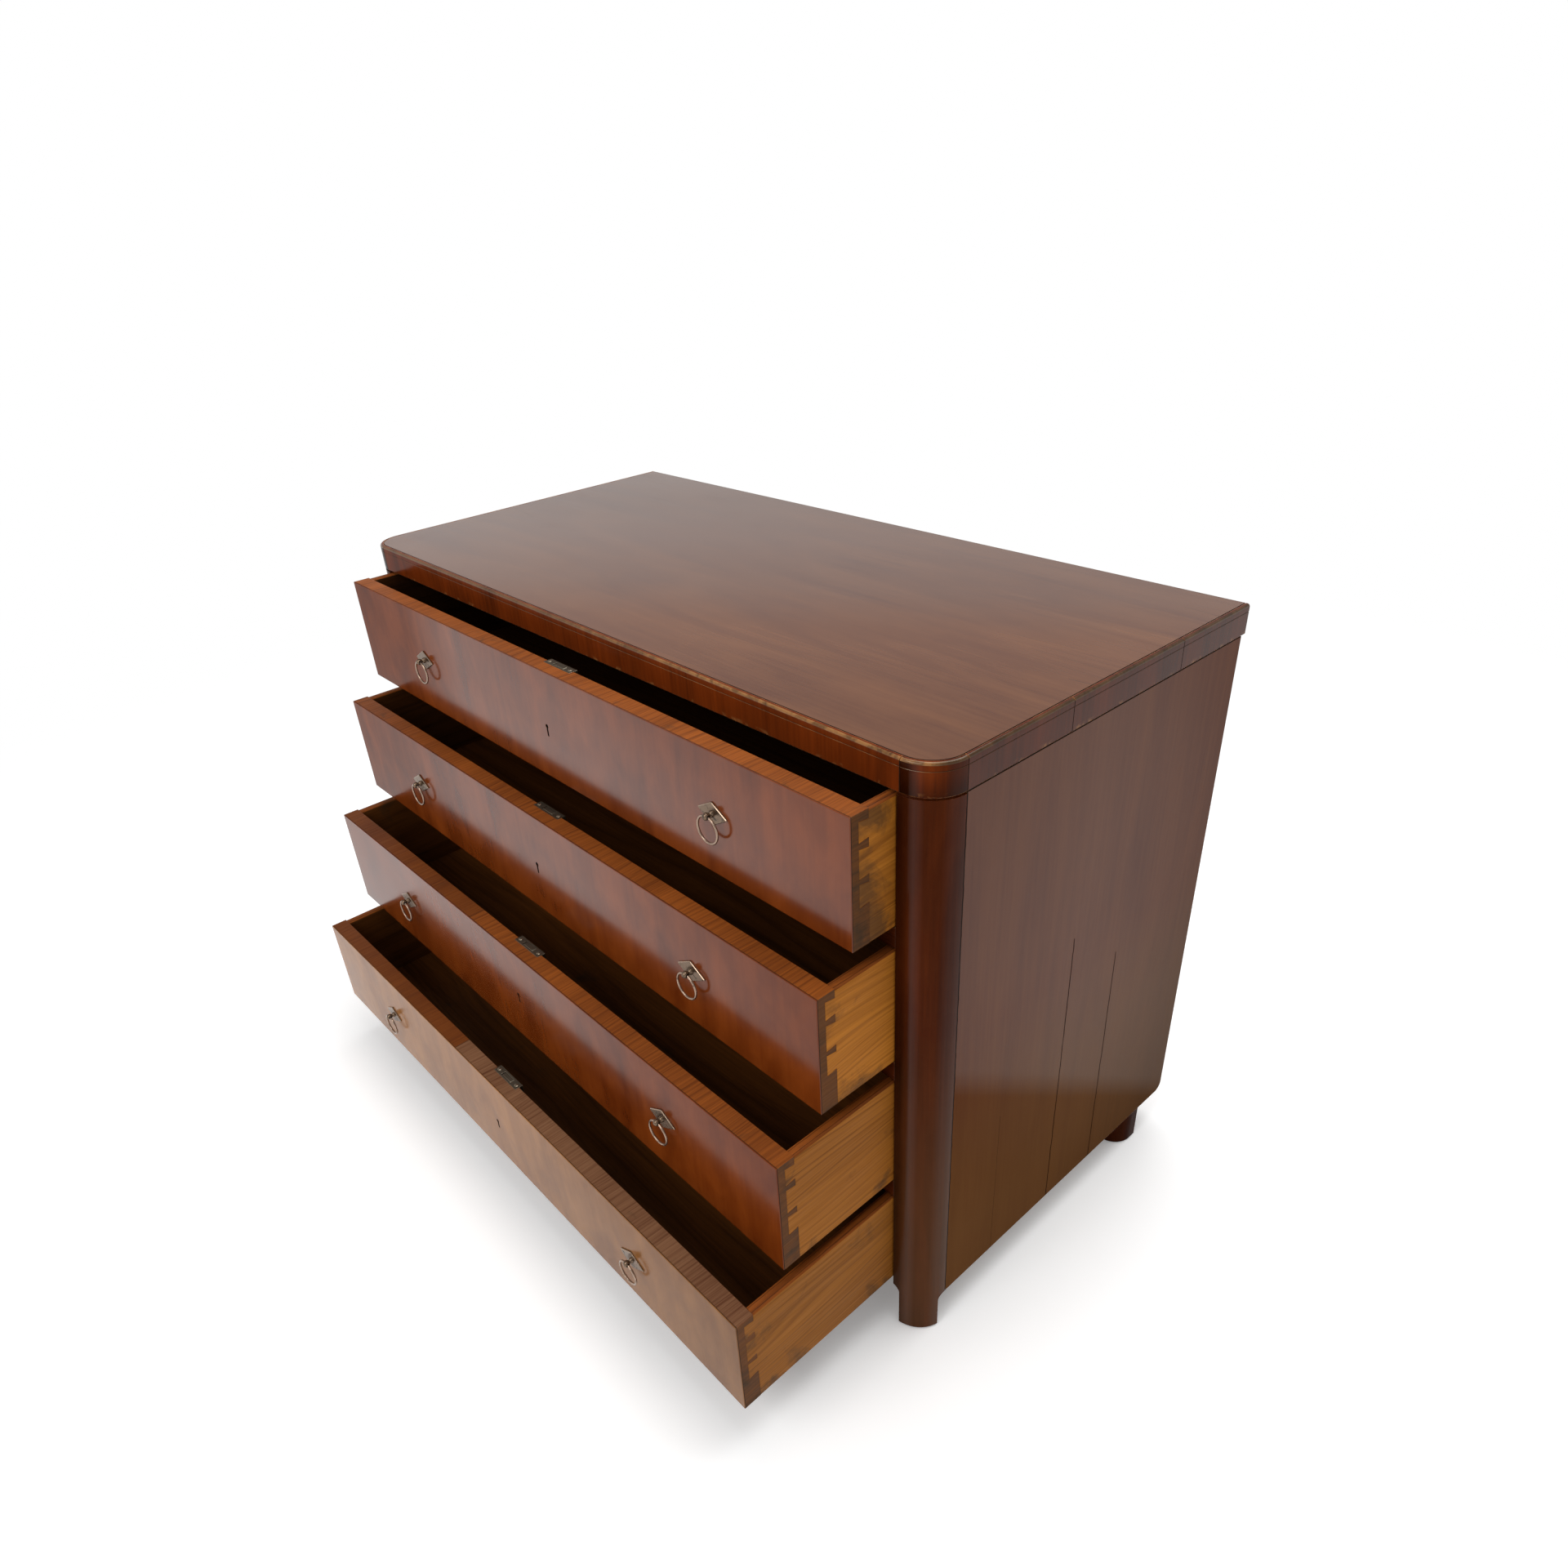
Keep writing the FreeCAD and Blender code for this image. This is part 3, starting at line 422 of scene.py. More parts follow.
def stretched_noise(tree, vector, stretch, fineness, roughness, distortion=0.0):
    """Noise drawn out by a different amount along each axis."""
    scaled = vectors(tree, "MULTIPLY", vector, stretch)
    return noise(tree, scaled, 1.0, fineness, roughness, distortion).outputs["Fac"]


def remap(tree, value, low, high, new_low=0.0, new_high=1.0):
    return fed(tree, "ShaderNodeMapRange", value, low, high, new_low, new_high).outputs["Result"]


def reckon(tree, operation, one, other):
    return fed(tree, "ShaderNodeMath", one, other, operation=operation).outputs[0]


def weighed(tree, *pairs):
    """The sum of values, each times its weight."""
    total = None
    for value, weight in pairs:
        part = reckon(tree, "MULTIPLY", value, weight)
        total = part if total is None else reckon(tree, "ADD", total, part)
    return total


def profile(tree, place, direction, stops):
    """A value that passes through given values at given distances along a direction."""
    reach = vectors(tree, "DOT_PRODUCT", place, direction)
    first, last = stops[0][0], stops[-1][0]
    ramp = fed(tree, "ShaderNodeValToRGB", remap(tree, reach, first, last))
    steps = ramp.color_ramp.elements
    steps.remove(steps[1])
    for index, (spot, value) in enumerate(stops):
        place_on_ramp = (spot - first) / (last - first)
        step = steps[0] if index == 0 else steps.new(place_on_ramp)
        step.position = place_on_ramp
        step.color = grey(value)
    return ramp.outputs["Color"]


def blend_colours(tree, share_of_second, first, second, mode="MIX"):
    node = add(tree, "ShaderNodeMix", data_type="RGBA", blend_type=mode)
    feed(node, 0, share_of_second)
    feed(node, 6, first)
    feed(node, 7, second)
    return node.outputs[2]


def opaque(tint, light=1.0):
    return (tint[0] * light, tint[1] * light, tint[2] * light, 1.0)


def grey(light):
    return opaque((light, light, light))


def tones(wood, light=1.0):
    """The deep and the clear colour of a wood."""
    return [opaque(getattr(finish(), wood + depth), light) for depth in ("_deep", "_clear")]


# Effects that several materials share

def new_group(name, inputs, outputs):
    """An empty node group with named sockets; returns the tree and its two end nodes."""
    tree = bpy.data.node_groups.new(name, "ShaderNodeTree")
    tree.interface.new_socket(name="Vector", in_out="INPUT", socket_type="NodeSocketVector")
    for label, default in inputs.items():
        kind = "NodeSocketVector" if default is None else "NodeSocketFloat"
        socket = tree.interface.new_socket(name=label, in_out="INPUT", socket_type=kind)
        if default is not None:
            socket.default_value = default
    for label in outputs:
        tree.interface.new_socket(name=label, in_out="OUTPUT", socket_type="NodeSocketFloat")
    return tree, add(tree, "NodeGroupInput").outputs, add(tree, "NodeGroupOutput")


def shared(make):
    """Let a node group be made once, under the name of its function."""
    name = make.__name__.replace("_", " ").capitalize()

    def give():
        return bpy.data.node_groups.get(name) or make(name)

    return give


def grouped(tree, group, **values):
    """The outputs of a node that holds a group; its inputs are given by name."""
    node = add(tree, "ShaderNodeGroup")
    node.node_tree = group
    for name, value in values.items():
        feed(node, name, value)
    return node.outputs


@shared
def close_grain(name):
    """Fine mahogany grain along X: streaks, broad figure, mottle and short dark pores."""
    tree, start, end = new_group(name, {}, ["Streaks", "Figure", "Mottle", "Pores"])
    vector = start["Vector"]
    streaks = stretched_noise(tree, vector, (5.0, 210.0, 210.0), 2.5, 0.6, 0.2)
    figure = stretched_noise(tree, vector, (2.2, 13.0, 13.0), 4.0, 0.55, 1.2)
    mottle = stretched_noise(tree, vector, (16.0, 26.0, 26.0), 3.0, 0.5, 0.4)
    pores = stretched_noise(tree, vector, (50.0, 900.0, 900.0), 0.0, 0.5)
    feed(end, "Streaks", remap(tree, streaks, 0.3, 0.7))
    feed(end, "Figure", remap(tree, figure, 0.32, 0.68))
    feed(end, "Mottle", remap(tree, mottle, 0.35, 0.68))
    feed(end, "Pores", remap(tree, pores, 0.62, 0.74))
    return tree


@shared
def soft_grain(name):
    """Softwood grain along X: late-wood bands, fibre and broad figure."""
    tree, start, end = new_group(name, {"Bands": 70.0}, ["Bands", "Fibre", "Figure"])
    vector = start["Vector"]
    bent = stretched_noise(tree, vector, (1.2, 5.0, 5.0), 2.0, 0.5)
    split = fed(tree, "ShaderNodeSeparateXYZ", vector)
    across = weighed(tree, (split.outputs["Y"], 1.0), (split.outputs["Z"], 0.85), (bent, 0.16))
    bands = add(tree, "ShaderNodeTexNoise", noise_dimensions="1D")
    feed(bands, "W", reckon(tree, "MULTIPLY", across, start["Bands"]))
    feed(bands, "Scale", 1.0)
    feed(bands, "Detail", 3.0)
    feed(bands, "Roughness", 0.6)
    fibre = stretched_noise(tree, vector, (9.0, 380.0, 380.0), 4.0, 0.6, 0.1)
    figure = stretched_noise(tree, vector, (2.5, 11.0, 11.0), 4.0, 0.55, 0.9)
    feed(end, "Bands", remap(tree, bands.outputs["Fac"], 0.42, 0.72))
    feed(end, "Fibre", remap(tree, fibre, 0.3, 0.7))
    feed(end, "Figure", remap(tree, figure, 0.3, 0.7))
    return tree


@shared
def stains(name):
    """Patches of dirt or wear, as a mask. Cover moves it from none to all over."""
    tree, start, end = new_group(name, {"Scale": 12.0, "Cover": 0.3, "Fineness": 7.0}, ["Mask"])
    patches = noise(tree, start["Vector"], start["Scale"], start["Fineness"], 0.62, 0.5)
    level = reckon(tree, "SUBTRACT", 0.78, reckon(tree, "MULTIPLY", start["Cover"], 0.5))
    top = reckon(tree, "ADD", level, 0.14)
    feed(end, "Mask", remap(tree, patches.outputs["Fac"], level, top))
    return tree


@shared
def fine_scratches(name):
    """Fine straight scratches along X, as a mask."""
    tree, start, end = new_group(name, {"Scale": 1.0}, ["Mask"])
    grown = vectors(tree, "SCALE", start["Vector"], start["Scale"])
    lines = stretched_noise(tree, grown, (5.0, 420.0, 420.0), 0.0, 0.6, 0.2)
    patches = stretched_noise(tree, grown, (7.0, 9.0, 9.0), 1.0, 0.5)
    broken = remap(tree, patches, 0.5, 0.65)
    feed(end, "Mask", reckon(tree, "MULTIPLY", remap(tree, lines, 0.63, 0.7), broken))
    return tree


@shared
def crack(name):
    """A thin line from one point to another, for a seam, a crack or a joint, as a mask."""
    inputs = {"Start": None, "End": None, "Width": MM, "Waver": 0.0}
    tree, start, end = new_group(name, inputs, ["Mask"])
    patches = noise(tree, start["Vector"], 60.0, 2.0, 0.5)
    centred = vectors(tree, "SUBTRACT", patches.outputs["Color"], (0.5, 0.5, 0.5))
    moved = vectors(tree, "ADD", start["Vector"], vectors(tree, "SCALE", centred, start["Waver"]))
    from_start = vectors(tree, "SUBTRACT", moved, start["Start"])
    run = vectors(tree, "SUBTRACT", start["End"], start["Start"])
    along = vectors(tree, "DOT_PRODUCT", from_start, run)
    square = vectors(tree, "DOT_PRODUCT", run, run)
    place = remap(tree, reckon(tree, "DIVIDE", along, square), 0.0, 1.0)
    away = vectors(tree, "DISTANCE", from_start, vectors(tree, "SCALE", run, place))
    near = reckon(tree, "MULTIPLY", start["Width"], 0.4)
    feed(end, "Mask", remap(tree, away, start["Width"], near))
    return tree


# Materials

def new_material(name):
    """A material with a shader and its output, and the piece's own coordinates."""
    material = bpy.data.materials.new(name)
    material.use_nodes = True
    tree = material.node_tree
    tree.nodes.clear()
    shader = add(tree, "ShaderNodeBsdfPrincipled")
    feed(add(tree, "ShaderNodeOutputMaterial"), "Surface", shader.outputs["BSDF"])
    return material, tree, shader, add(tree, "ShaderNodeTexCoord").outputs["Object"]


def along_grain(tree, place, direction, shift=(0.0, 0.0, 0.0)):
    """The piece's coordinates, moved, with its grain on the X axis."""
    turn = add(tree, "ShaderNodeMapping", vector_type="POINT")
    feed(turn, "Vector", place)
    feed(turn, "Rotation", GRAIN_TURN[direction])
    feed(turn, "Location", shift)
    return turn.outputs["Vector"]


def bump(tree, shader, height, distance):
    node = add(tree, "ShaderNodeBump")
    feed(node, "Height", height)
    feed(node, "Distance", distance)
    feed(node, "Strength", 1.0)
    feed(shader, "Normal", node.outputs["Normal"])


def stained(tree, place, scale, cover, fineness=7.0):
    """Where patches of dirt or wear lie on a piece."""
    return grouped(tree, stains(), Vector=place, Scale=scale, Cover=cover, Fineness=fineness)["Mask"]


def crack_mask(tree, place, cracks):
    """One where a seam, crack or joint stands open. Each is its start, end, width and darkness."""
    mask = 0.0
    for start, end, wide, dark in cracks:
        line = grouped(tree, crack(), Vector=place, Start=start, End=end, Width=wide, Waver=wide * 2)
        mask = reckon(tree, "MAXIMUM", mask, reckon(tree, "MULTIPLY", line["Mask"], dark))
    return mask


def polished_wood(
    name, deep, clear, direction, shine, gloss=0.14, ripple=1.0, rub=0.008, streaks=0.3, mottle=0.12,
    cracks=(), chips=None, worn=None, painted_reflection=None, shade=(), coat=(), veil=(1.0, 0.88, 0.72),
):
    """Veneer under old polish: close grain, a rippled shine, dull patches, scratches and cracks.

    Chips is the height of a chipped arris. A profile is a direction and its stops: worn says where the
    wood is rubbed bare, and the golden profile where the golden colour lies as a painted reflection of
    the floor. Shade and coat are one or more: the product of the shades is painted shade that darkens
    the wood by place, and the product of the coats is the coat weight, which lays painted sheen and
    painted highlights by place. Veil is the tint of the shine.
    """
    if name in bpy.data.materials:
        return bpy.data.materials[name]
    material, tree, shader, place = new_material(name)
    vector = along_grain(tree, place, direction)
    grain = grouped(tree, close_grain(), Vector=vector)
    figure = 1.0 - streaks - mottle
    body = weighed(tree, (grain["Streaks"], streaks), (grain["Figure"], figure), (grain["Mottle"], mottle))
    tint = blend_colours(tree, body, deep, clear)
    pores = reckon(tree, "MULTIPLY", grain["Pores"], 0.06)
    tint = blend_colours(tree, pores, tint, opaque((0.3, 0.2, 0.15)), "MULTIPLY")
    # Painted reflection: the golden colour laid where its profile says stands for the floor's reflection
    if painted_reflection:
        tint = blend_colours(tree, profile(tree, place, *painted_reflection), tint, opaque(finish().golden))
    # Painted shade: each shade profile darkens the colour by place
    for part in shade:
        tint = blend_colours(tree, 1.0, tint, profile(tree, place, *part), "MULTIPLY")
    bare = reckon(tree, "MULTIPLY", stained(tree, place, 55.0, 0.7, 4.0), rub)
    if worn:
        bare = reckon(tree, "MULTIPLY", bare, profile(tree, place, *worn))
    if chips is not None:
        near = profile(tree, place, UP, [(chips, 1.0), (chips + detail().chips, 0.0)])
        broken = reckon(tree, "MULTIPLY", stained(tree, place, 50.0, 0.46, 3.0), near)
        bare = reckon(tree, "MAXIMUM", bare, broken)
    tint = blend_colours(tree, bare, tint, opaque(finish().rubbed))
    open_joints = crack_mask(tree, place, cracks)
    feed(shader, "Base Color", blend_colours(tree, open_joints, tint, opaque(finish().joint_deep)))
    # The coat weight from the coat profiles lays a painted sheen by place; open joints get none
    if coat:
        painted_sheen = reckon(tree, "SUBTRACT", 1.0, open_joints)
        for part in coat:
            painted_sheen = reckon(tree, "MULTIPLY", painted_sheen, profile(tree, place, *part))
        feed(shader, "Coat Weight", painted_sheen)
        feed(shader, "Coat Roughness", gloss)
    feed(shader, "Specular Tint", opaque(veil))
    feed(shader, "Specular IOR Level", shine)
    dull = stained(tree, place, 7.0, 0.42, 1.5)
    scratches = grouped(tree, fine_scratches(), Vector=vector)["Mask"]
    rough = weighed(tree, (grain["Streaks"], 0.05), (dull, 0.045), (scratches, 0.04))
    feed(shader, "Roughness", reckon(tree, "ADD", rough, gloss))
    waves = stretched_noise(tree, vector, (6.0, 11.0, 11.0), 1.0, 0.5)
    mottled = (grain["Mottle"], 0.012 * ripple)
    bump(tree, shader, weighed(tree, (waves, 0.22 * ripple), mottled, (grain["Streaks"], 0.001)), MM)
    return material


def emboss_wood(tree, shader, grain, dirty, deep, clear, roughness, fibre):
    """Dull and emboss bare wood by its grain; returns its colour, dirty where a mask says."""
    body = weighed(tree, (grain["Bands"], 0.65 - fibre), (grain["Fibre"], fibre), (grain["Figure"], 0.35))
    tint = blend_colours(tree, dirty, blend_colours(tree, body, clear, deep), opaque(finish().grime))
    feed(shader, "Roughness", remap(tree, grain["Fibre"], 0.0, 1.0, roughness - 0.07, roughness + 0.1))
    feed(shader, "Specular IOR Level", 0.1)
    bump(tree, shader, weighed(tree, (grain["Bands"], 0.03), (grain["Fibre"], 0.08)), MM)
    return tint


def bare_wood(
    name, deep, clear, direction, bands=70.0, cover=0.3, roughness=0.6, dirt=0.75, fibre=0.3, cracks=()
):
    """Unpolished wood: bands, fibre and old dirt."""
    if name in bpy.data.materials:
        return bpy.data.materials[name]
    material, tree, shader, place = new_material(name)
    grain = grouped(tree, soft_grain(), Vector=along_grain(tree, place, direction), Bands=bands)
    dirty = reckon(tree, "MULTIPLY", stained(tree, place, 13.0, cover), dirt)
    tint = emboss_wood(tree, shader, grain, dirty, deep, clear, roughness, fibre)
    open_joints = crack_mask(tree, place, cracks)
    feed(shader, "Base Color", blend_colours(tree, open_joints, tint, opaque(finish().joint_deep)))
    return material


# How dirty the dovetails of each drawer have become
JOINT_DIRT = {1: 0.3, 2: 0.14, 3: 0.06, 4: 0.16}

# How light the sides and the inside of each drawer are against the common colours; the darker insides are
# painted shade
SIDE_LIGHT = {1: 1.1, 2: 1.2, 3: 1.0, 4: 0.78}
INSIDE_LIGHT = {1: 0.3, 2: 0.6, 3: 1.0, 4: 0.8}

# Where the front edges of the two lowest drawers are pieced together, across the chest
PIECED = {3: -107.0 * MM, 4: -95.0 * MM}


def drawer_side_wood(number):
    """The golden pine of one drawer's sides, dirtier at its joints and lower edge."""
    material, tree, shader, place = new_material(f"Drawer side pine {number}")
    low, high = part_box(f"drawer_{number}_front")
    vector = along_grain(tree, place, "y", (0.31 * number, 0.07 * number, 0.17 * number))
    grain = grouped(tree, soft_grain(), Vector=vector, Bands=230.0)
    joint = profile(tree, place, REAR, [(low.y + 20 * MM, JOINT_DIRT[number]), (low.y + 75 * MM, 0.0)])
    edge = profile(tree, place, UP, [(low.z, 0.24), (low.z + 30 * MM, 0.0)])
    cover = reckon(tree, "ADD", reckon(tree, "ADD", joint, edge), 0.36)
    dirty = reckon(tree, "MULTIPLY", stained(tree, place, 17.0, cover), 0.65)
    deep, clear = tones("pine", SIDE_LIGHT[number])
    feed(shader, "Base Color", emboss_wood(tree, shader, grain, dirty, deep, clear, 0.55, 0.25))
    return material


def front_edge_wood(number):
    """The bare upper edge of one drawer front, sawn across the grain and pieced beside the lock."""
    material, tree, shader, place = new_material(f"Front edge wood {number}")
    low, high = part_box(f"drawer_{number}_front")
    vector = along_grain(tree, place, "y", (0.0, 0.0, 0.23 * number))
    grain = grouped(tree, soft_grain(), Vector=vector, Bands=260.0)
    deep, clear = tones("edge")
    if number == 4:
        clear = opaque(finish().edge_grey)
    joints = []
    if number in PIECED:
        spot = PIECED[number]
        other = profile(tree, place, RIGHT, [(spot - MM, 1.0), (spot, 0.0)])
        clear = blend_colours(tree, other, clear, tones("edge", 0.62)[1])
        joints.append(((spot, low.y, high.z), (spot, high.y, high.z), detail().seam, 0.85))
    dirty = reckon(tree, "MULTIPLY", stained(tree, place, 26.0, 0.34), 0.55)
    tint = emboss_wood(tree, shader, grain, dirty, deep, clear, 0.5, 0.3)
    tint = blend_colours(tree, crack_mask(tree, place, joints), tint, opaque(finish().joint_deep))
    feed(shader, "Base Color", tint)
    return material


def metal(name, bright, dark, cover, roughness, metallic=0.85):
    """Old metal: bright where hands rub it, dark in patches, finely scratched."""
    material, tree, shader, place = new_material(name)
    patina = stained(tree, place, 160.0, cover)
    scratches = grouped(tree, fine_scratches(), Vector=place, Scale=4.0)["Mask"]
    feed(shader, "Base Color", blend_colours(tree, patina, opaque(bright), opaque(dark)))
    feed(shader, "Roughness", remap(tree, patina, 0.0, 1.0, roughness, roughness + 0.25))
    feed(shader, "Metallic", remap(tree, patina, 0.0, 1.0, metallic, metallic * 0.5))
    bump(tree, shader, reckon(tree, "SUBTRACT", patina, scratches), 0.05 * MM)
    return material


def rubbed_wood():
    return polished_wood("Rubbed arris", *tones("band"), "x", 0.2, gloss=0.2, ripple=0.0, rub=0.7)


# Dirt of the joints; the same material lies in the keyholes as painted shade
def joint_dirt():
    return bare_wood("Joint dirt", *tones("joint"), "z", bands=300.0, cover=0.1, roughness=0.8, dirt=0.3)


def inside_wood(direction, number):
    name = f"Drawer {number} inside {direction}"
    return bare_wood(name, *tones("inside", INSIDE_LIGHT[number]), direction, bands=60.0, roughness=0.5)


def carcass_wood(direction):
    return bare_wood("Carcass pine " + direction, *tones("carcass"), direction, bands=55.0, dirt=0.4)


# How light the wood of a turned corner is painted and how much coat it has, by the angle round it in
# degrees, from the front to the side. The shades are painted shade, dark on the front part beside the
# drawers, and on the corner blocks at the side too; the coats lay a painted highlight near the front and a
# painted reflection towards the side.
POST_SHADE = ((0, 0.45), (13, 0.8), (24, 1.0), (90, 1.0))
POST_COAT = ((0, 0.0), (10, 0.02), (21, 0.22), (34, 0.0), (56, 0.0), (70, 0.14), (90, 0.16))
CORNER_SHADE = ((0, 0.16), (15, 0.3), (27, 0.85), (40, 1.0), (52, 0.85), (66, 0.42), (90, 0.4))


def turned(low, high, values):
    """A profile over the depth of a quarter-round for values given by the angle round it."""
    radius = high.y - low.y
    return REAR, [(high.y - radius * math.cos(math.radians(angle)), value) for angle, value in values]


# The cracks at the ends of the top: where each starts and ends, across and along the depth of the
# chest, its width and its darkness
TOP_CRACKS = (
    (543.0 * MM, -30.5 * MM, 569.0 * MM, -27.5 * MM, 0.5 * MM, 0.8),
    (524.0 * MM, 225.5 * MM, 569.0 * MM, 222.5 * MM, 0.5 * MM, 0.8),
    (-562.0 * MM, -20.5 * MM, -479.0 * MM, -33.5 * MM, 0.6 * MM, 0.6),
)


class CHEST_OT_top(bpy.types.Operator):
    """The top board, the band round it and the turned corners of the band"""

    bl_idname = "chest.top"
    bl_label = "Top"

    def execute(self, context):
        low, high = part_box("top_board")
        cracks = []
        for start, start_depth, end, end_depth, wide, dark in TOP_CRACKS:
            cracks.append(((start, start_depth, high.z), (end, end_depth, high.z), wide, dark))
        # Painted shade: the top is painted darker towards its front right corner and towards its back left,
        # where the coat weight lays a painted reflection
        to_right, to_rear = (1.0, -1.0, 0.0), (-0.6, 1.0, 0.0)
        top = polished_wood(
            "Polished top", *tones("top"), "x", 0.46, gloss=0.17, ripple=0.7, streaks=0.28, cracks=cracks,
            shade=[
                (to_right, [(0.1, 1.0), (0.5, 0.95), (0.8, 0.82)]),
                (to_rear, [(-0.25, 1.0), (-0.08, 0.84), (0.16, 0.76), (0.42, 0.6)]),
            ],
            coat=[(to_rear, [(-0.5, 0.0), (-0.23, 0.06), (-0.08, 0.3), (0.16, 0.34), (0.42, 0.2)])],
            veil=(1.0, 0.93, 0.85),
        )
        dress(
            "top_board", "mahogany", [top, carcass_wood("x"), joint_dirt()], detail().rub * 0.5,
            lambda face: 0 if face.normal.z > 0.5 else 1, arris_slot=2,
        )
        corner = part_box("top_corners")
        front, back, foot = corner[0].y, corner[1].y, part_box("top_edging")[0].z
        # Painted shade: the band is painted darker along the sides than along the front, and the turned
        # corners dark at both ends and darker towards their foot; the coats lay a painted reflection on the
        # band along the sides and the posts' painted highlight and reflection on the corners
        shades = {
            "top_edging": [(REAR, [(front, 1.0), (back, 0.6)])],
            "top_corners": [turned(*corner, CORNER_SHADE), (UP, [(foot, 0.4), (foot + 24 * MM, 1.0)])],
        }
        coats = {
            "top_edging": (REAR, [(front, 0.0), (back, 0.3)]),
            "top_corners": turned(*corner, POST_COAT),
        }
        # The lip is painted darker along the right side, as painted shade
        lip = polished_wood(
            "Rubbed lip", *tones("lip"), "z", 0.4, gloss=0.16, ripple=0.3, rub=0.7,
            worn=(RIGHT, [(-0.1, 0.0), (0.25, 1.0), (0.558, 1.0), (0.568, 0.12)]),
            shade=[(RIGHT, [(0.56, 1.0), (0.568, 0.4)])],
        )
        for name in ("top_edging", "top_corners"):
            band = polished_wood(
                "Polished " + name, *tones("band"), "z", 0.04, ripple=0.5, chips=foot,
                shade=shades[name], coat=[coats[name]],
            )
            piece = dress(
                name, "mahogany", [band, lip, rubbed_wood(), joint_dirt()], detail().rub * 0.4,
                lambda face: 1 if 0.2 < face.normal.z < 0.97 else 0, arris_slot=2,
            )
            recolour(piece, 2, 3, lambda face: abs(face.normal.z) < 0.2)
            recolour(piece, 2, 0, lambda face: low.z + 20 * MM < face.center.z < high.z - 7 * MM)
        return {"FINISHED"}


class CHEST_OT_posts(bpy.types.Operator):
    """The quarter-round front posts with their coved feet, and the rear feet"""

    bl_idname = "chest.posts"
    bl_label = "Posts and feet"

    def execute(self, context):
        # Painted shade: the rear feet are the posts' wood painted darker all over
        dark = (UP, [(0.0, 0.55), (50 * MM, 0.55)])
        foot = polished_wood(
            "Polished rear foot", *tones("post"), "z", 0.01, gloss=0.2, ripple=0.5, shade=[dark]
        )
        for hand in HANDS:
            name = "post_" + hand
            low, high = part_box(name)
            face = outer_face(low, high)
            # The post's golden lower part is a painted reflection of the floor; its shade and coat by angle
            # are painted shade, a painted highlight and a painted reflection
            polish = polished_wood(
                "Polished post " + hand, *tones("post"), "z", 0.03, gloss=0.16, ripple=0.5, mottle=0.0,
                cracks=[((face, high.y, 0.0), (face, high.y, high.z), detail().seam * 1.6, 0.95)],
                painted_reflection=(UP, [(0.1, 0.26), (0.25, 0.22), (0.5, 0.0)]),
                shade=[turned(low, high, POST_SHADE)],
                coat=[turned(low, high, POST_COAT)],
            )
            woods = [polish, rubbed_wood(), joint_dirt()]
            piece = dress(name, "mahogany", woods, detail().rub * 0.6, arris_slot=1)
            recolour(piece, 1, 2, lambda face: abs(face.center.y - high.y) < 2 * MM)
            dress("rear_foot_" + hand, "mahogany", [foot, rubbed_wood()], detail().rub, arris_slot=1)
        return {"FINISHED"}


# The open joints between the boards of a side: depth, upper end, width against a seam and darkness
SIDE_JOINTS = (
    (82.8 * MM, 423 * MM, 1.7, 0.95),
    (-16.6 * MM, 498 * MM, 1.7, 0.95),
    (-137.5 * MM, 300 * MM, 0.8, 0.5),
)


class CHEST_OT_sides(bpy.types.Operator):
    """The veneered sides"""

    bl_idname = "chest.sides"
    bl_label = "Sides"

    def execute(self, context):
        inner = carcass_wood("z")
        for hand, outward in zip(HANDS, (-1, 1)):
            name = "side_" + hand
            low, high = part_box(name)
            face = outer_face(low, high)
            cracks = []
            for depth, end, wide, dark in SIDE_JOINTS + ((low.y, high.z, 1.8, 0.95),):
                cracks.append(((face, depth, low.z), (face, depth, end), detail().seam * wide, dark))
            # The side's golden lower part is a painted reflection of the floor; painted shade darkens it
            # towards the back and foot, and the coat weight lays a painted reflection above a slanting
            # line, less towards the back
            rising = (0.0, 0.71, 1.0)
            outer = polished_wood(
                "Polished side " + hand, *tones("side"), "z", 0.0, ripple=0.7, streaks=0.4, mottle=0.0,
                cracks=cracks,
                painted_reflection=(UP, [(0.15, 0.5), (0.3, 0.36), (0.46, 0.0)]),
                shade=[((0.0, 1.0, -0.6), [(-0.3, 1.0), (-0.08, 0.95), (0.16, 0.68)])],
                coat=[
                    (rising, [(0.1, 0.02), (0.235, 0.05), (0.275, 0.33), (0.42, 0.41), (0.8, 0.57)]),
                    (REAR, [(-0.2, 1.0), (0.0, 0.92), (0.28, 0.46)]),
                ],
            )

            def beside_joint(face):
                return abs(face.center.y - low.y) < 2 * MM or face.center.z > high.z - 2 * MM

            piece = dress(
                name, "mahogany", [outer, inner, rubbed_wood(), joint_dirt()], detail().rub * 0.7,
                lambda face: 0 if face.normal.x * outward > 0.5 else 1, arris_slot=2,
            )
            recolour(piece, 2, 3, beside_joint)
        return {"FINISHED"}


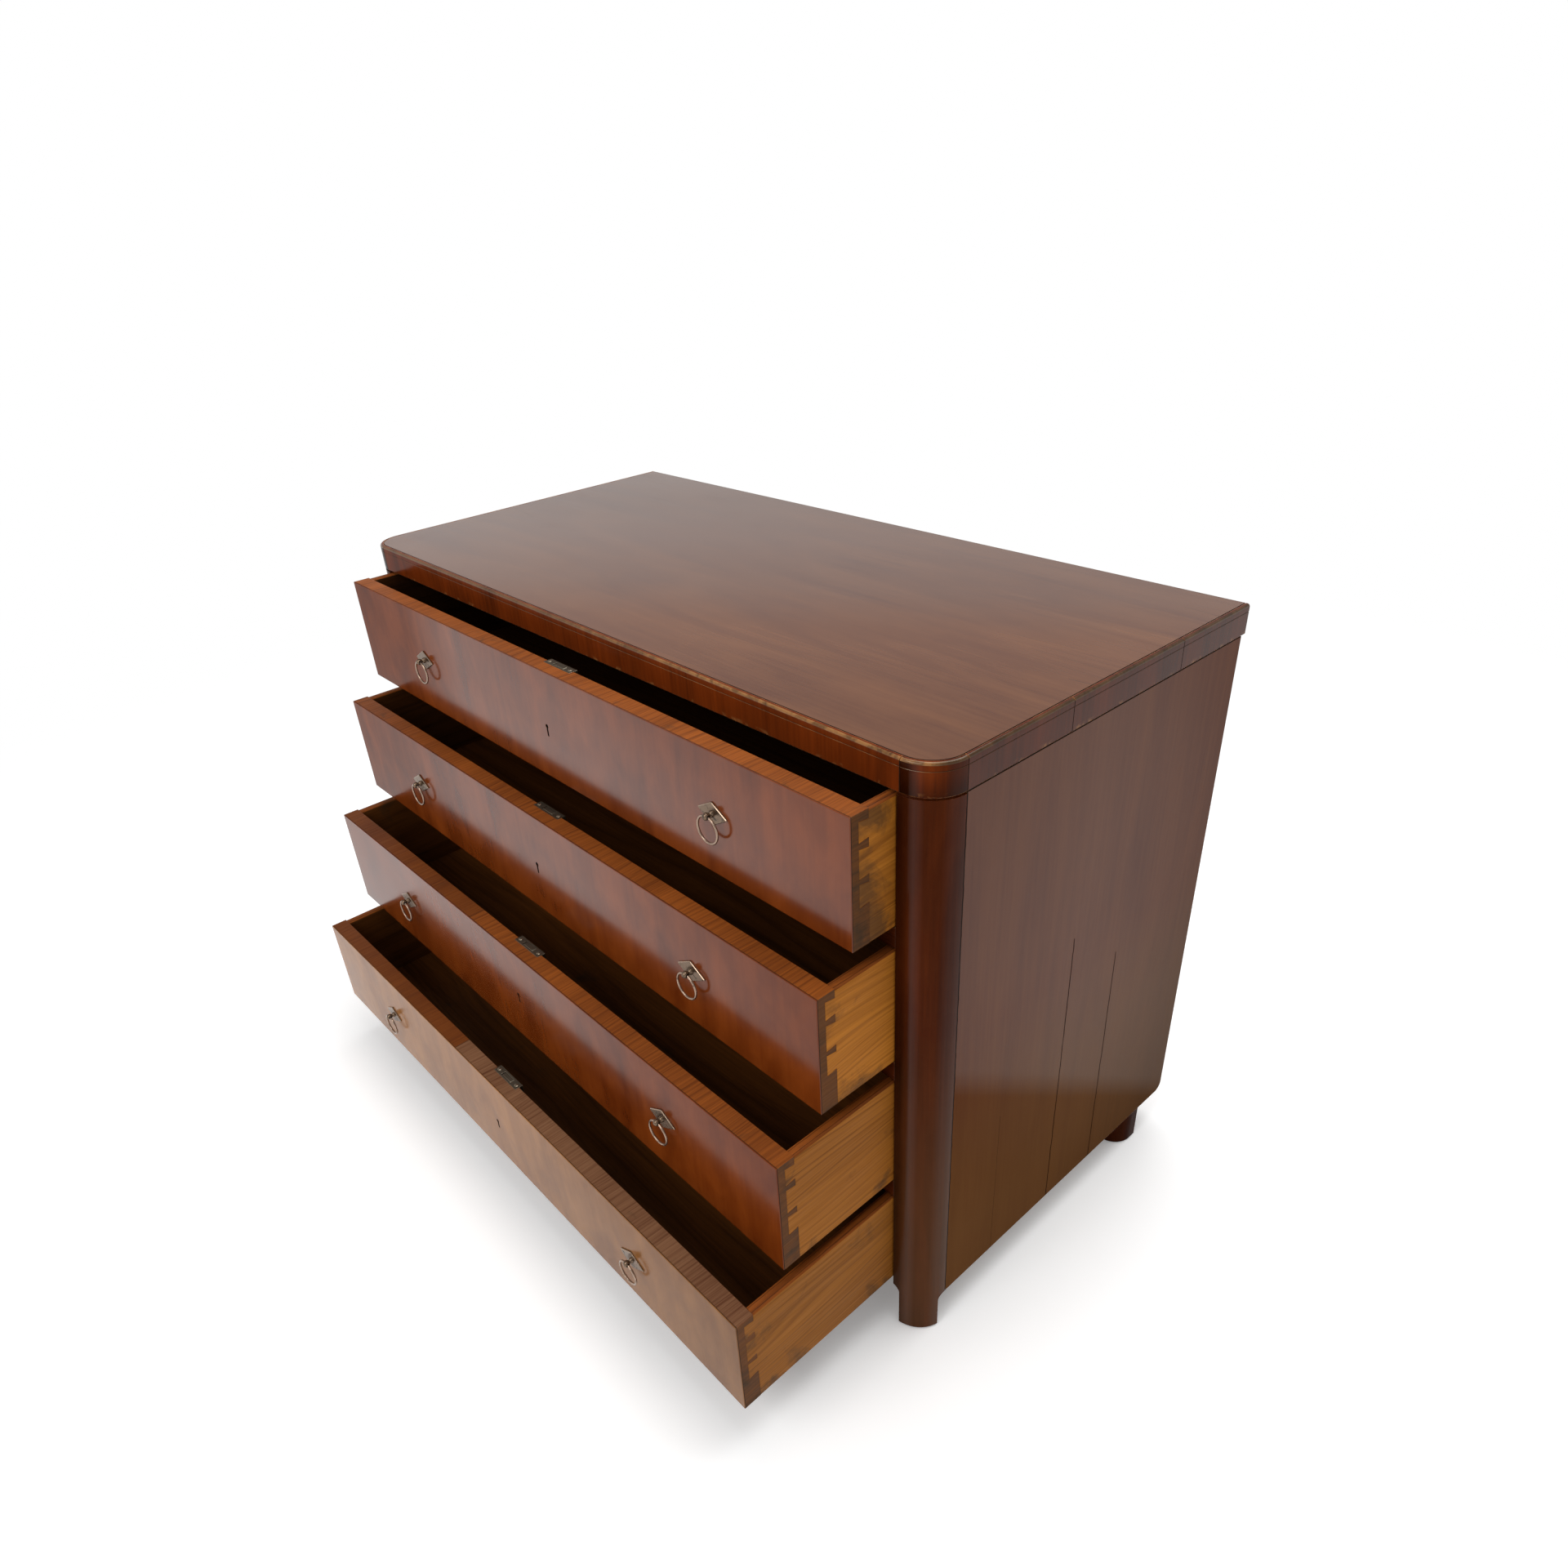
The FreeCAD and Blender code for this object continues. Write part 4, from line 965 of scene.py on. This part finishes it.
class CHEST_OT_carcass(bpy.types.Operator):
    """The rails, runners, bottom board, stops and back boards"""

    bl_idname = "chest.carcass"
    bl_label = "Carcass"

    def execute(self, context):
        woods = [polished_wood("Polished rail", *tones("post"), "x", 0.1, gloss=0.2), carcass_wood("x")]
        arris = detail().saw_arris
        for number in (1, 2, 3):
            name = f"rail_{number}"
            dress(name, "mahogany", woods, detail().rub, lambda face: 0 if face.normal.y < -0.5 else 1)
        for hand in HANDS:
            dress("runners_" + hand, "pine", [carcass_wood("y")], arris)
        dress("bottom_board", "pine", [carcass_wood("x")], arris)
        dress("drawer_stops", "pine", [carcass_wood("x")], arris * 0.7)
        dress("back_boards", "pine", [carcass_wood("z")], arris * 0.7)
        self.drive_nails()
        return {"FINISHED"}

    def drive_nails(self):
        """Flat-headed nails, two across each back board at its top, middle and foot."""
        wide, inset = detail().nail, detail().nail_inset
        low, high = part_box("back_boards")
        board = (high.x - low.x) / BACK_BOARDS
        deselect()
        bpy.ops.mesh.primitive_cylinder_add(vertices=20, radius=wide / 2, depth=wide * 0.18)
        head = bpy.context.object
        edit(head, "FACE", lambda face: face.normal.z > 0.9)
        bpy.ops.mesh.inset(thickness=wide * 0.12, depth=wide * 0.06)
        bpy.ops.mesh.inset(thickness=wide * 0.18, depth=wide * 0.03)
        close()
        finish_with(head, [metal("Nail iron", finish().rust, finish().grime, 0.5, 0.55, 0.6)])
        smooth(head, 50.0)
        nails = []
        for index in range(BACK_BOARDS):
            for across in (0.22, 0.78):
                for height in (low.z + inset, (low.z + high.z) / 2, high.z - inset):
                    spot = (low.x + board * (index + across), high.y, height)
                    nails.append(twin(head, "nail", spot, REARWARD))
        bpy.data.objects.remove(head)
        seat(join(nails, "back_nails"), frame["nodes"]["back_boards"]["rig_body"], "lock_steel")


# The coat weight across each front, which places a painted reflection along it
FRONT_COAT = {
    1: [(-0.5, 0.03), (-0.36, 0.12), (-0.22, 0.74), (0.1, 0.88), (0.3, 0.8), (0.5, 0.64)],
    2: [(-0.5, 0.1), (-0.36, 0.24), (-0.16, 0.58), (0.1, 0.7), (0.3, 0.53), (0.5, 0.36)],
    3: [(-0.5, 0.42), (-0.3, 0.58), (0.1, 0.53), (0.3, 0.3), (0.5, 0.19)],
    4: [(-0.5, 0.0), (0.0, 0.09), (0.5, 0.03)],
}


def keyhole_height(number):
    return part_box(f"drawer_{number}_front")[1].z - detail().key_drop


def in_keyhole(face, height):
    """Whether a face lies within the outline of a keyhole at some height."""
    return abs(face.center.x) < 6 * MM and abs(face.center.z - height) < 14 * MM


class CHEST_OT_drawer_fronts(bpy.types.Operator):
    """The veneered drawer fronts with their bare upper edges and ends"""

    bl_idname = "chest.drawer_fronts"
    bl_label = "Drawer fronts"

    def execute(self, context):
        dirty, clear = opaque(finish().grime), opaque(finish().inside_clear)
        end = bare_wood("Front end wood", dirty, clear, "y", bands=90.0, cover=0.5)
        for number in DRAWERS:
            coat = [(RIGHT, FRONT_COAT[number])]
            # The lowest front's pale veneer is partly a painted reflection of the floor, and painted shade
            # darkens it towards the right
            if number == 4:
                veneer = polished_wood(
                    "Polished front 4", *tones("pale"), "z", 0.09, gloss=0.15, ripple=2.4, streaks=0.12,
                    mottle=0.5, shade=[(RIGHT, [(0.0, 1.0), (0.15, 0.9), (0.5, 0.74)])], coat=coat,
                )
            else:
                veneer = polished_wood(
                    f"Polished front {number}", *tones("veneer"), "z", 0.03, gloss=0.15, ripple=1.2,
                    streaks=0.12, mottle=0.42, coat=coat, veil=(1.0, 0.8, 0.5),
                )
            name = f"drawer_{number}_front"
            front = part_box(name)[0].y
            layers = (front + detail().veneer, front + detail().veneer + detail().glue)
            keyhole = keyhole_height(number)

            def choose(face):
                # The keyhole's walls get the joint dirt material: painted shade in the hole
                if in_keyhole(face, keyhole) and abs(face.normal.y) < 0.5:
                    return 5
                if face.normal.y < -0.3:
                    return 0
                if face.normal.y > 0.5:
                    return 3
                if face.center.y < layers[1]:
                    return 0 if face.center.y < layers[0] else 5
                return 2 if abs(face.normal.x) > 0.7 else 1

            woods = [veneer, front_edge_wood(number), end, inside_wood("x", number)]
            woods += [rubbed_wood(), joint_dirt()]
            dress(name, "mahogany", woods, detail().rub * 0.5, choose, arris_slot=4, depths=layers)
        return {"FINISHED"}


class CHEST_OT_drawer_boxes(bpy.types.Operator):
    """The dovetailed drawer sides, the backs and the bottoms"""

    bl_idname = "chest.drawer_boxes"
    bl_label = "Drawer boxes"

    def execute(self, context):
        arris = detail().saw_arris
        for number in DRAWERS:
            golden = drawer_side_wood(number)
            for hand, outward in zip(HANDS, (-1, 1)):
                name = f"drawer_{number}_side_{hand}"
                low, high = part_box(name)
                lines = []
                for spot in (low.x + 3.2 * MM, high.x - 3.2 * MM):
                    lines.append(((spot, low.y, high.z), (spot, high.y, high.z), detail().seam, 0.6))
                handled = bare_wood(
                    "Top of " + name, *tones("edge"), "y", bands=75.0, dirt=0.6, cracks=lines
                )

                def choose(face):
                    if face.normal.z > 0.3:
                        return 2
                    return 1 if face.normal.x * outward < -0.5 else 0

                dress(
                    name, "pine", [golden, inside_wood("y", number), handled], arris * 0.6, choose,
                    rounding=(detail().side_round, lambda point: point.z > high.z - 0.1 * MM),
                )
            dress(f"drawer_{number}_back", "pine", [inside_wood("x", number)], arris)
            dress(f"drawer_{number}_bottom", "pine", [inside_wood("x", number)], arris * 0.4)
        return {"FINISHED"}


class CHEST_OT_locks(bpy.types.Operator):
    """The steel locks and their bolts"""

    bl_idname = "chest.locks"
    bl_label = "Locks"

    def execute(self, context):
        tints = finish()
        steel = metal("Lock steel", tints.steel, tints.rust, 0.4, 0.32)
        worn = metal("Rubbed steel", tints.bright_steel, tints.steel, 0.3, 0.24)
        arris = detail().metal_arris
        screw = self.make_screw(worn)
        for number in DRAWERS:
            keyhole = keyhole_height(number)
            # The keyhole's walls in the lock get the joint dirt material: painted shade in the hole
            lock = dress(
                f"lock_{number}", "lock_steel", [steel, worn, joint_dirt()], arris,
                lambda face: 2 if in_keyhole(face, keyhole) else 0, arris_slot=1,
            )
            self.drive_screws(lock, screw, number)
            dress(f"bolt_{number}", "lock_steel", [steel, worn], arris, arris_slot=1)
        bpy.data.objects.remove(screw)
        return {"FINISHED"}

    def make_screw(self, worn):
        """One slotted screw head, its top a little domed and facing up."""
        wide = detail().screw
        deselect()
        bpy.ops.mesh.primitive_cylinder_add(vertices=28, radius=wide / 2, depth=wide * 0.2)
        screw = bpy.context.object
        edit(screw, "FACE", lambda face: face.normal.z > 0.9)
        bpy.ops.mesh.inset(thickness=wide * 0.1, depth=wide * 0.05)
        for side in (-1, 1):
            bpy.ops.mesh.bisect(plane_co=(0.0, side * wide * 0.07, 0.0), plane_no=REAR)
            bpy.ops.mesh.select_all(action="SELECT")
        close()
        edit(screw, "FACE", lambda face: face.normal.z > 0.9 and abs(face.center.y) < wide * 0.02)
        bpy.ops.mesh.extrude_region_move(TRANSFORM_OT_translate={"value": (0.0, 0.0, -wide * 0.12)})
        close()
        finish_with(screw, [worn])
        smooth(screw, 40.0)
        return screw

    def drive_screws(self, lock, screw, number):
        """Two screws in the lock's upper edge and four in its back, each turned by its own angle."""
        low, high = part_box(f"lock_{number}")
        inset = detail().screw
        places = []
        for across in (low.x + inset, high.x - inset):
            places.append(((across, (low.y + high.y) / 2, high.z), Matrix()))
            for height in (low.z + inset, high.z - inset * 1.6):
                places.append(((across, high.y, height), REARWARD))
        screws = []
        for index, (spot, turn) in enumerate(places):
            slot_turn = Matrix.Rotation(math.radians(67.0 * (index + number)), 4, "Z")
            screws.append(twin(screw, f"screw_{index}", spot, turn @ slot_turn))
        join([lock] + screws, lock.name)


class CHEST_OT_pulls(bpy.types.Operator):
    """The lozenge plates with their eyes, and the loose rings"""

    bl_idname = "chest.pulls"
    bl_label = "Pulls and rings"

    def execute(self, context):
        tints = finish()
        brass = metal("Pull brass", tints.brass, tints.tarnish, 0.46, 0.26)
        bright = metal("Rubbed brass", tints.bright_brass, tints.brass, 0.2, 0.22)
        for number in DRAWERS:
            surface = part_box(f"drawer_{number}_front")[0].y

            def choose(face):
                chamfer = -0.95 < face.normal.y < -0.3 and MM < surface - face.center.y < 2.1 * MM
                return 1 if chamfer else 0

            arris = detail().metal_arris * 0.5
            dress(f"pulls_{number}", "pull_brass", [brass, bright], arris, choose, arris_slot=1)
        ring = self.make_ring(metal("Ring brass", tints.ring_brass, tints.tarnish, 0.4, 0.2))
        first = middle(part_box("ring_left_1"))
        for number in DRAWERS:
            for hand in HANDS:
                node_name = f"ring_{hand}_{number}"
                copy = twin(ring, "worn_" + node_name, middle(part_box(node_name)) - first)
                seat(copy, node_name, "pull_brass", node_name)
        bpy.data.objects.remove(ring)
        return {"FINISHED"}

    def make_ring(self, brass):
        """One ring, its wire worn thin where it hangs in the eye."""
        low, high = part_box("ring_left_1")
        wire = (high.y - low.y) / 2
        across = (high.x - low.x) / 2 - wire
        spot = middle((low, high))
        deselect()
        bpy.ops.mesh.primitive_torus_add(
            major_radius=across, minor_radius=wire, major_segments=72, minor_segments=18,
            location=spot, rotation=(math.radians(90.0), 0.0, 0.0),
        )
        ring = bpy.context.object
        settle(ring)
        edit(ring, "VERT", lambda vertex: vertex.co.z > spot.z + across * 0.93)
        bpy.ops.transform.shrink_fatten(value=-detail().ring_wear)
        close()
        finish_with(ring, [brass])
        smooth(ring, 60.0)
        return ring


# The photographed view: the eye, and the camera's turn to the left, tilt down and roll
EYE = (1.112755, -0.92531, 1.271052)
TURN = math.radians(49.911)
TILT = math.radians(31.575)
ROLL = math.radians(3.854)


class CHEST_OT_studio(bpy.types.Operator):
    """The floor, the lamps, the pale surroundings and the camera"""

    bl_idname = "chest.studio"
    bl_label = "Studio"

    def execute(self, context):
        self.make_floor()
        self.make_lamp("Key lamp", (0.3, 0.75, 3.7), (0.0, 0.0, 0.4), 3.0, 3.0, studio().key_power)
        self.make_lamp("Fill lamp", (0.2, -2.8, 2.7), (0.1, -0.2, 0.4), 2.0, 1.6, studio().fill_power)
        self.make_world()
        self.make_camera()
        context.scene.view_settings.view_transform = "Standard"
        return {"FINISHED"}

    def shade_twice(self, tree, unseen, seen, output):
        """Light the scene with one shader; show another to the camera, reflections and clear glass."""
        path = add(tree, "ShaderNodeLightPath").outputs
        both = reckon(tree, "MAXIMUM", path["Is Camera Ray"], path["Is Glossy Ray"])
        direct = reckon(tree, "MAXIMUM", both, path["Is Transmission Ray"])
        mix = fed(tree, "ShaderNodeMixShader", direct, unseen.outputs[0], seen.outputs[0])
        fed(tree, output, mix.outputs[0])

    def make_floor(self):
        deselect()
        bpy.ops.mesh.primitive_plane_add(size=studio().floor_wide, location=(0.0, 0.0, 0.0))
        floor = bpy.context.object
        floor.name = "studio_floor"
        material = bpy.data.materials.new("Pale floor")
        material.use_nodes = True
        tree = material.node_tree
        tree.nodes.clear()
        place = add(tree, "ShaderNodeTexCoord").outputs["Object"]
        far = vectors(tree, "DISTANCE", place, (0.0, 0.0, 0.0))
        edge = remap(tree, far, studio().white_round * 0.4, studio().white_round)
        plain = fed(tree, "ShaderNodeBsdfDiffuse", grey(0.8))
        lit = fed(tree, "ShaderNodeBsdfDiffuse", blend_colours(tree, edge, grey(0.95), grey(0.0)))
        glow = fed(tree, "ShaderNodeEmission", blend_colours(tree, edge, grey(0.16), grey(1.0)))
        both = fed(tree, "ShaderNodeAddShader", lit.outputs[0], glow.outputs[0])
        self.shade_twice(tree, plain, both, "ShaderNodeOutputMaterial")
        floor.data.materials.append(material)

    def make_lamp(self, name, spot, target, wide, high, power):
        data = bpy.data.lights.new(name, "AREA")
        data.shape = "RECTANGLE"
        data.size = wide
        data.size_y = high
        data.energy = power
        lamp = place_object(name, data)
        lamp.location = spot
        lamp.rotation_euler = (Vector(target) - Vector(spot)).to_track_quat("-Z", "Y").to_euler()

    def make_world(self):
        world = bpy.data.worlds.new("Studio surroundings")
        bpy.context.scene.world = world
        world.use_nodes = True
        tree = world.node_tree
        tree.nodes.clear()
        light = fed(tree, "ShaderNodeBackground", grey(1.0), studio().sky)
        direction = add(tree, "ShaderNodeTexCoord").outputs["Generated"]
        height = remap(tree, fed(tree, "ShaderNodeSeparateXYZ", direction).outputs["Z"], 0.14, 0.32)
        seen = fed(tree, "ShaderNodeBackground", blend_colours(tree, height, grey(1.0), grey(0.5)), 1.0)
        self.shade_twice(tree, light, seen, "ShaderNodeOutputWorld")

    def make_camera(self):
        level = Vector((math.cos(TURN), math.sin(TURN), 0.0))
        ahead = Vector((-math.sin(TURN), math.cos(TURN), 0.0))
        forward = ahead * math.cos(TILT) - Vector(UP) * math.sin(TILT)
        down = forward.cross(level)
        right = level * math.cos(ROLL) + down * math.sin(ROLL)
        up = level * math.sin(ROLL) - down * math.cos(ROLL)
        data = bpy.data.cameras.new("Camera")
        data.sensor_width = 36.0
        data.lens = studio().lens
        data.shift_x = 0.011285
        data.shift_y = 0.036525
        data.clip_start = 0.05
        data.clip_end = 100.0
        camera = place_object("Camera", data)
        camera.matrix_world = Matrix.Translation(EYE) @ Matrix((right, up, -forward)).transposed().to_4x4()
        bpy.context.scene.camera = camera


MAKERS = (
    CHEST_OT_top,
    CHEST_OT_posts,
    CHEST_OT_sides,
    CHEST_OT_carcass,
    CHEST_OT_drawer_fronts,
    CHEST_OT_drawer_boxes,
    CHEST_OT_locks,
    CHEST_OT_pulls,
    CHEST_OT_studio,
)


class CHEST_PT_panel(bpy.types.Panel):
    """Everything that makes the chest, in order"""

    bl_idname = "CHEST_PT_panel"
    bl_label = "Chest of drawers"
    bl_space_type = "VIEW_3D"
    bl_region_type = "UI"
    bl_category = "Chest"

    def draw(self, context):
        column = self.layout.column()
        for maker in MAKERS:
            column.operator(maker.bl_idname)
        for group in (finish(), detail(), studio()):
            box = self.layout.box()
            for name in group.bl_rna.properties.keys():
                if name not in ("rna_type", "name"):
                    box.prop(group, name)


CLASSES = (ChestFinish, ChestDetail, ChestStudio) + MAKERS + (CHEST_PT_panel,)


def register():
    for kind in CLASSES:
        bpy.utils.register_class(kind)
    bpy.types.Scene.chest_finish = bpy.props.PointerProperty(type=ChestFinish)
    bpy.types.Scene.chest_detail = bpy.props.PointerProperty(type=ChestDetail)
    bpy.types.Scene.chest_studio = bpy.props.PointerProperty(type=ChestStudio)


def unregister():
    del bpy.types.Scene.chest_studio
    del bpy.types.Scene.chest_detail
    del bpy.types.Scene.chest_finish
    for kind in reversed(CLASSES):
        bpy.utils.unregister_class(kind)


def main():
    register()
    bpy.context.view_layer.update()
    bpy.ops.chest.top()
    bpy.ops.chest.posts()
    bpy.ops.chest.sides()
    bpy.ops.chest.carcass()
    bpy.ops.chest.drawer_fronts()
    bpy.ops.chest.drawer_boxes()
    bpy.ops.chest.locks()
    bpy.ops.chest.pulls()
    bpy.ops.chest.studio()


if __name__ == "__main__":
    main()
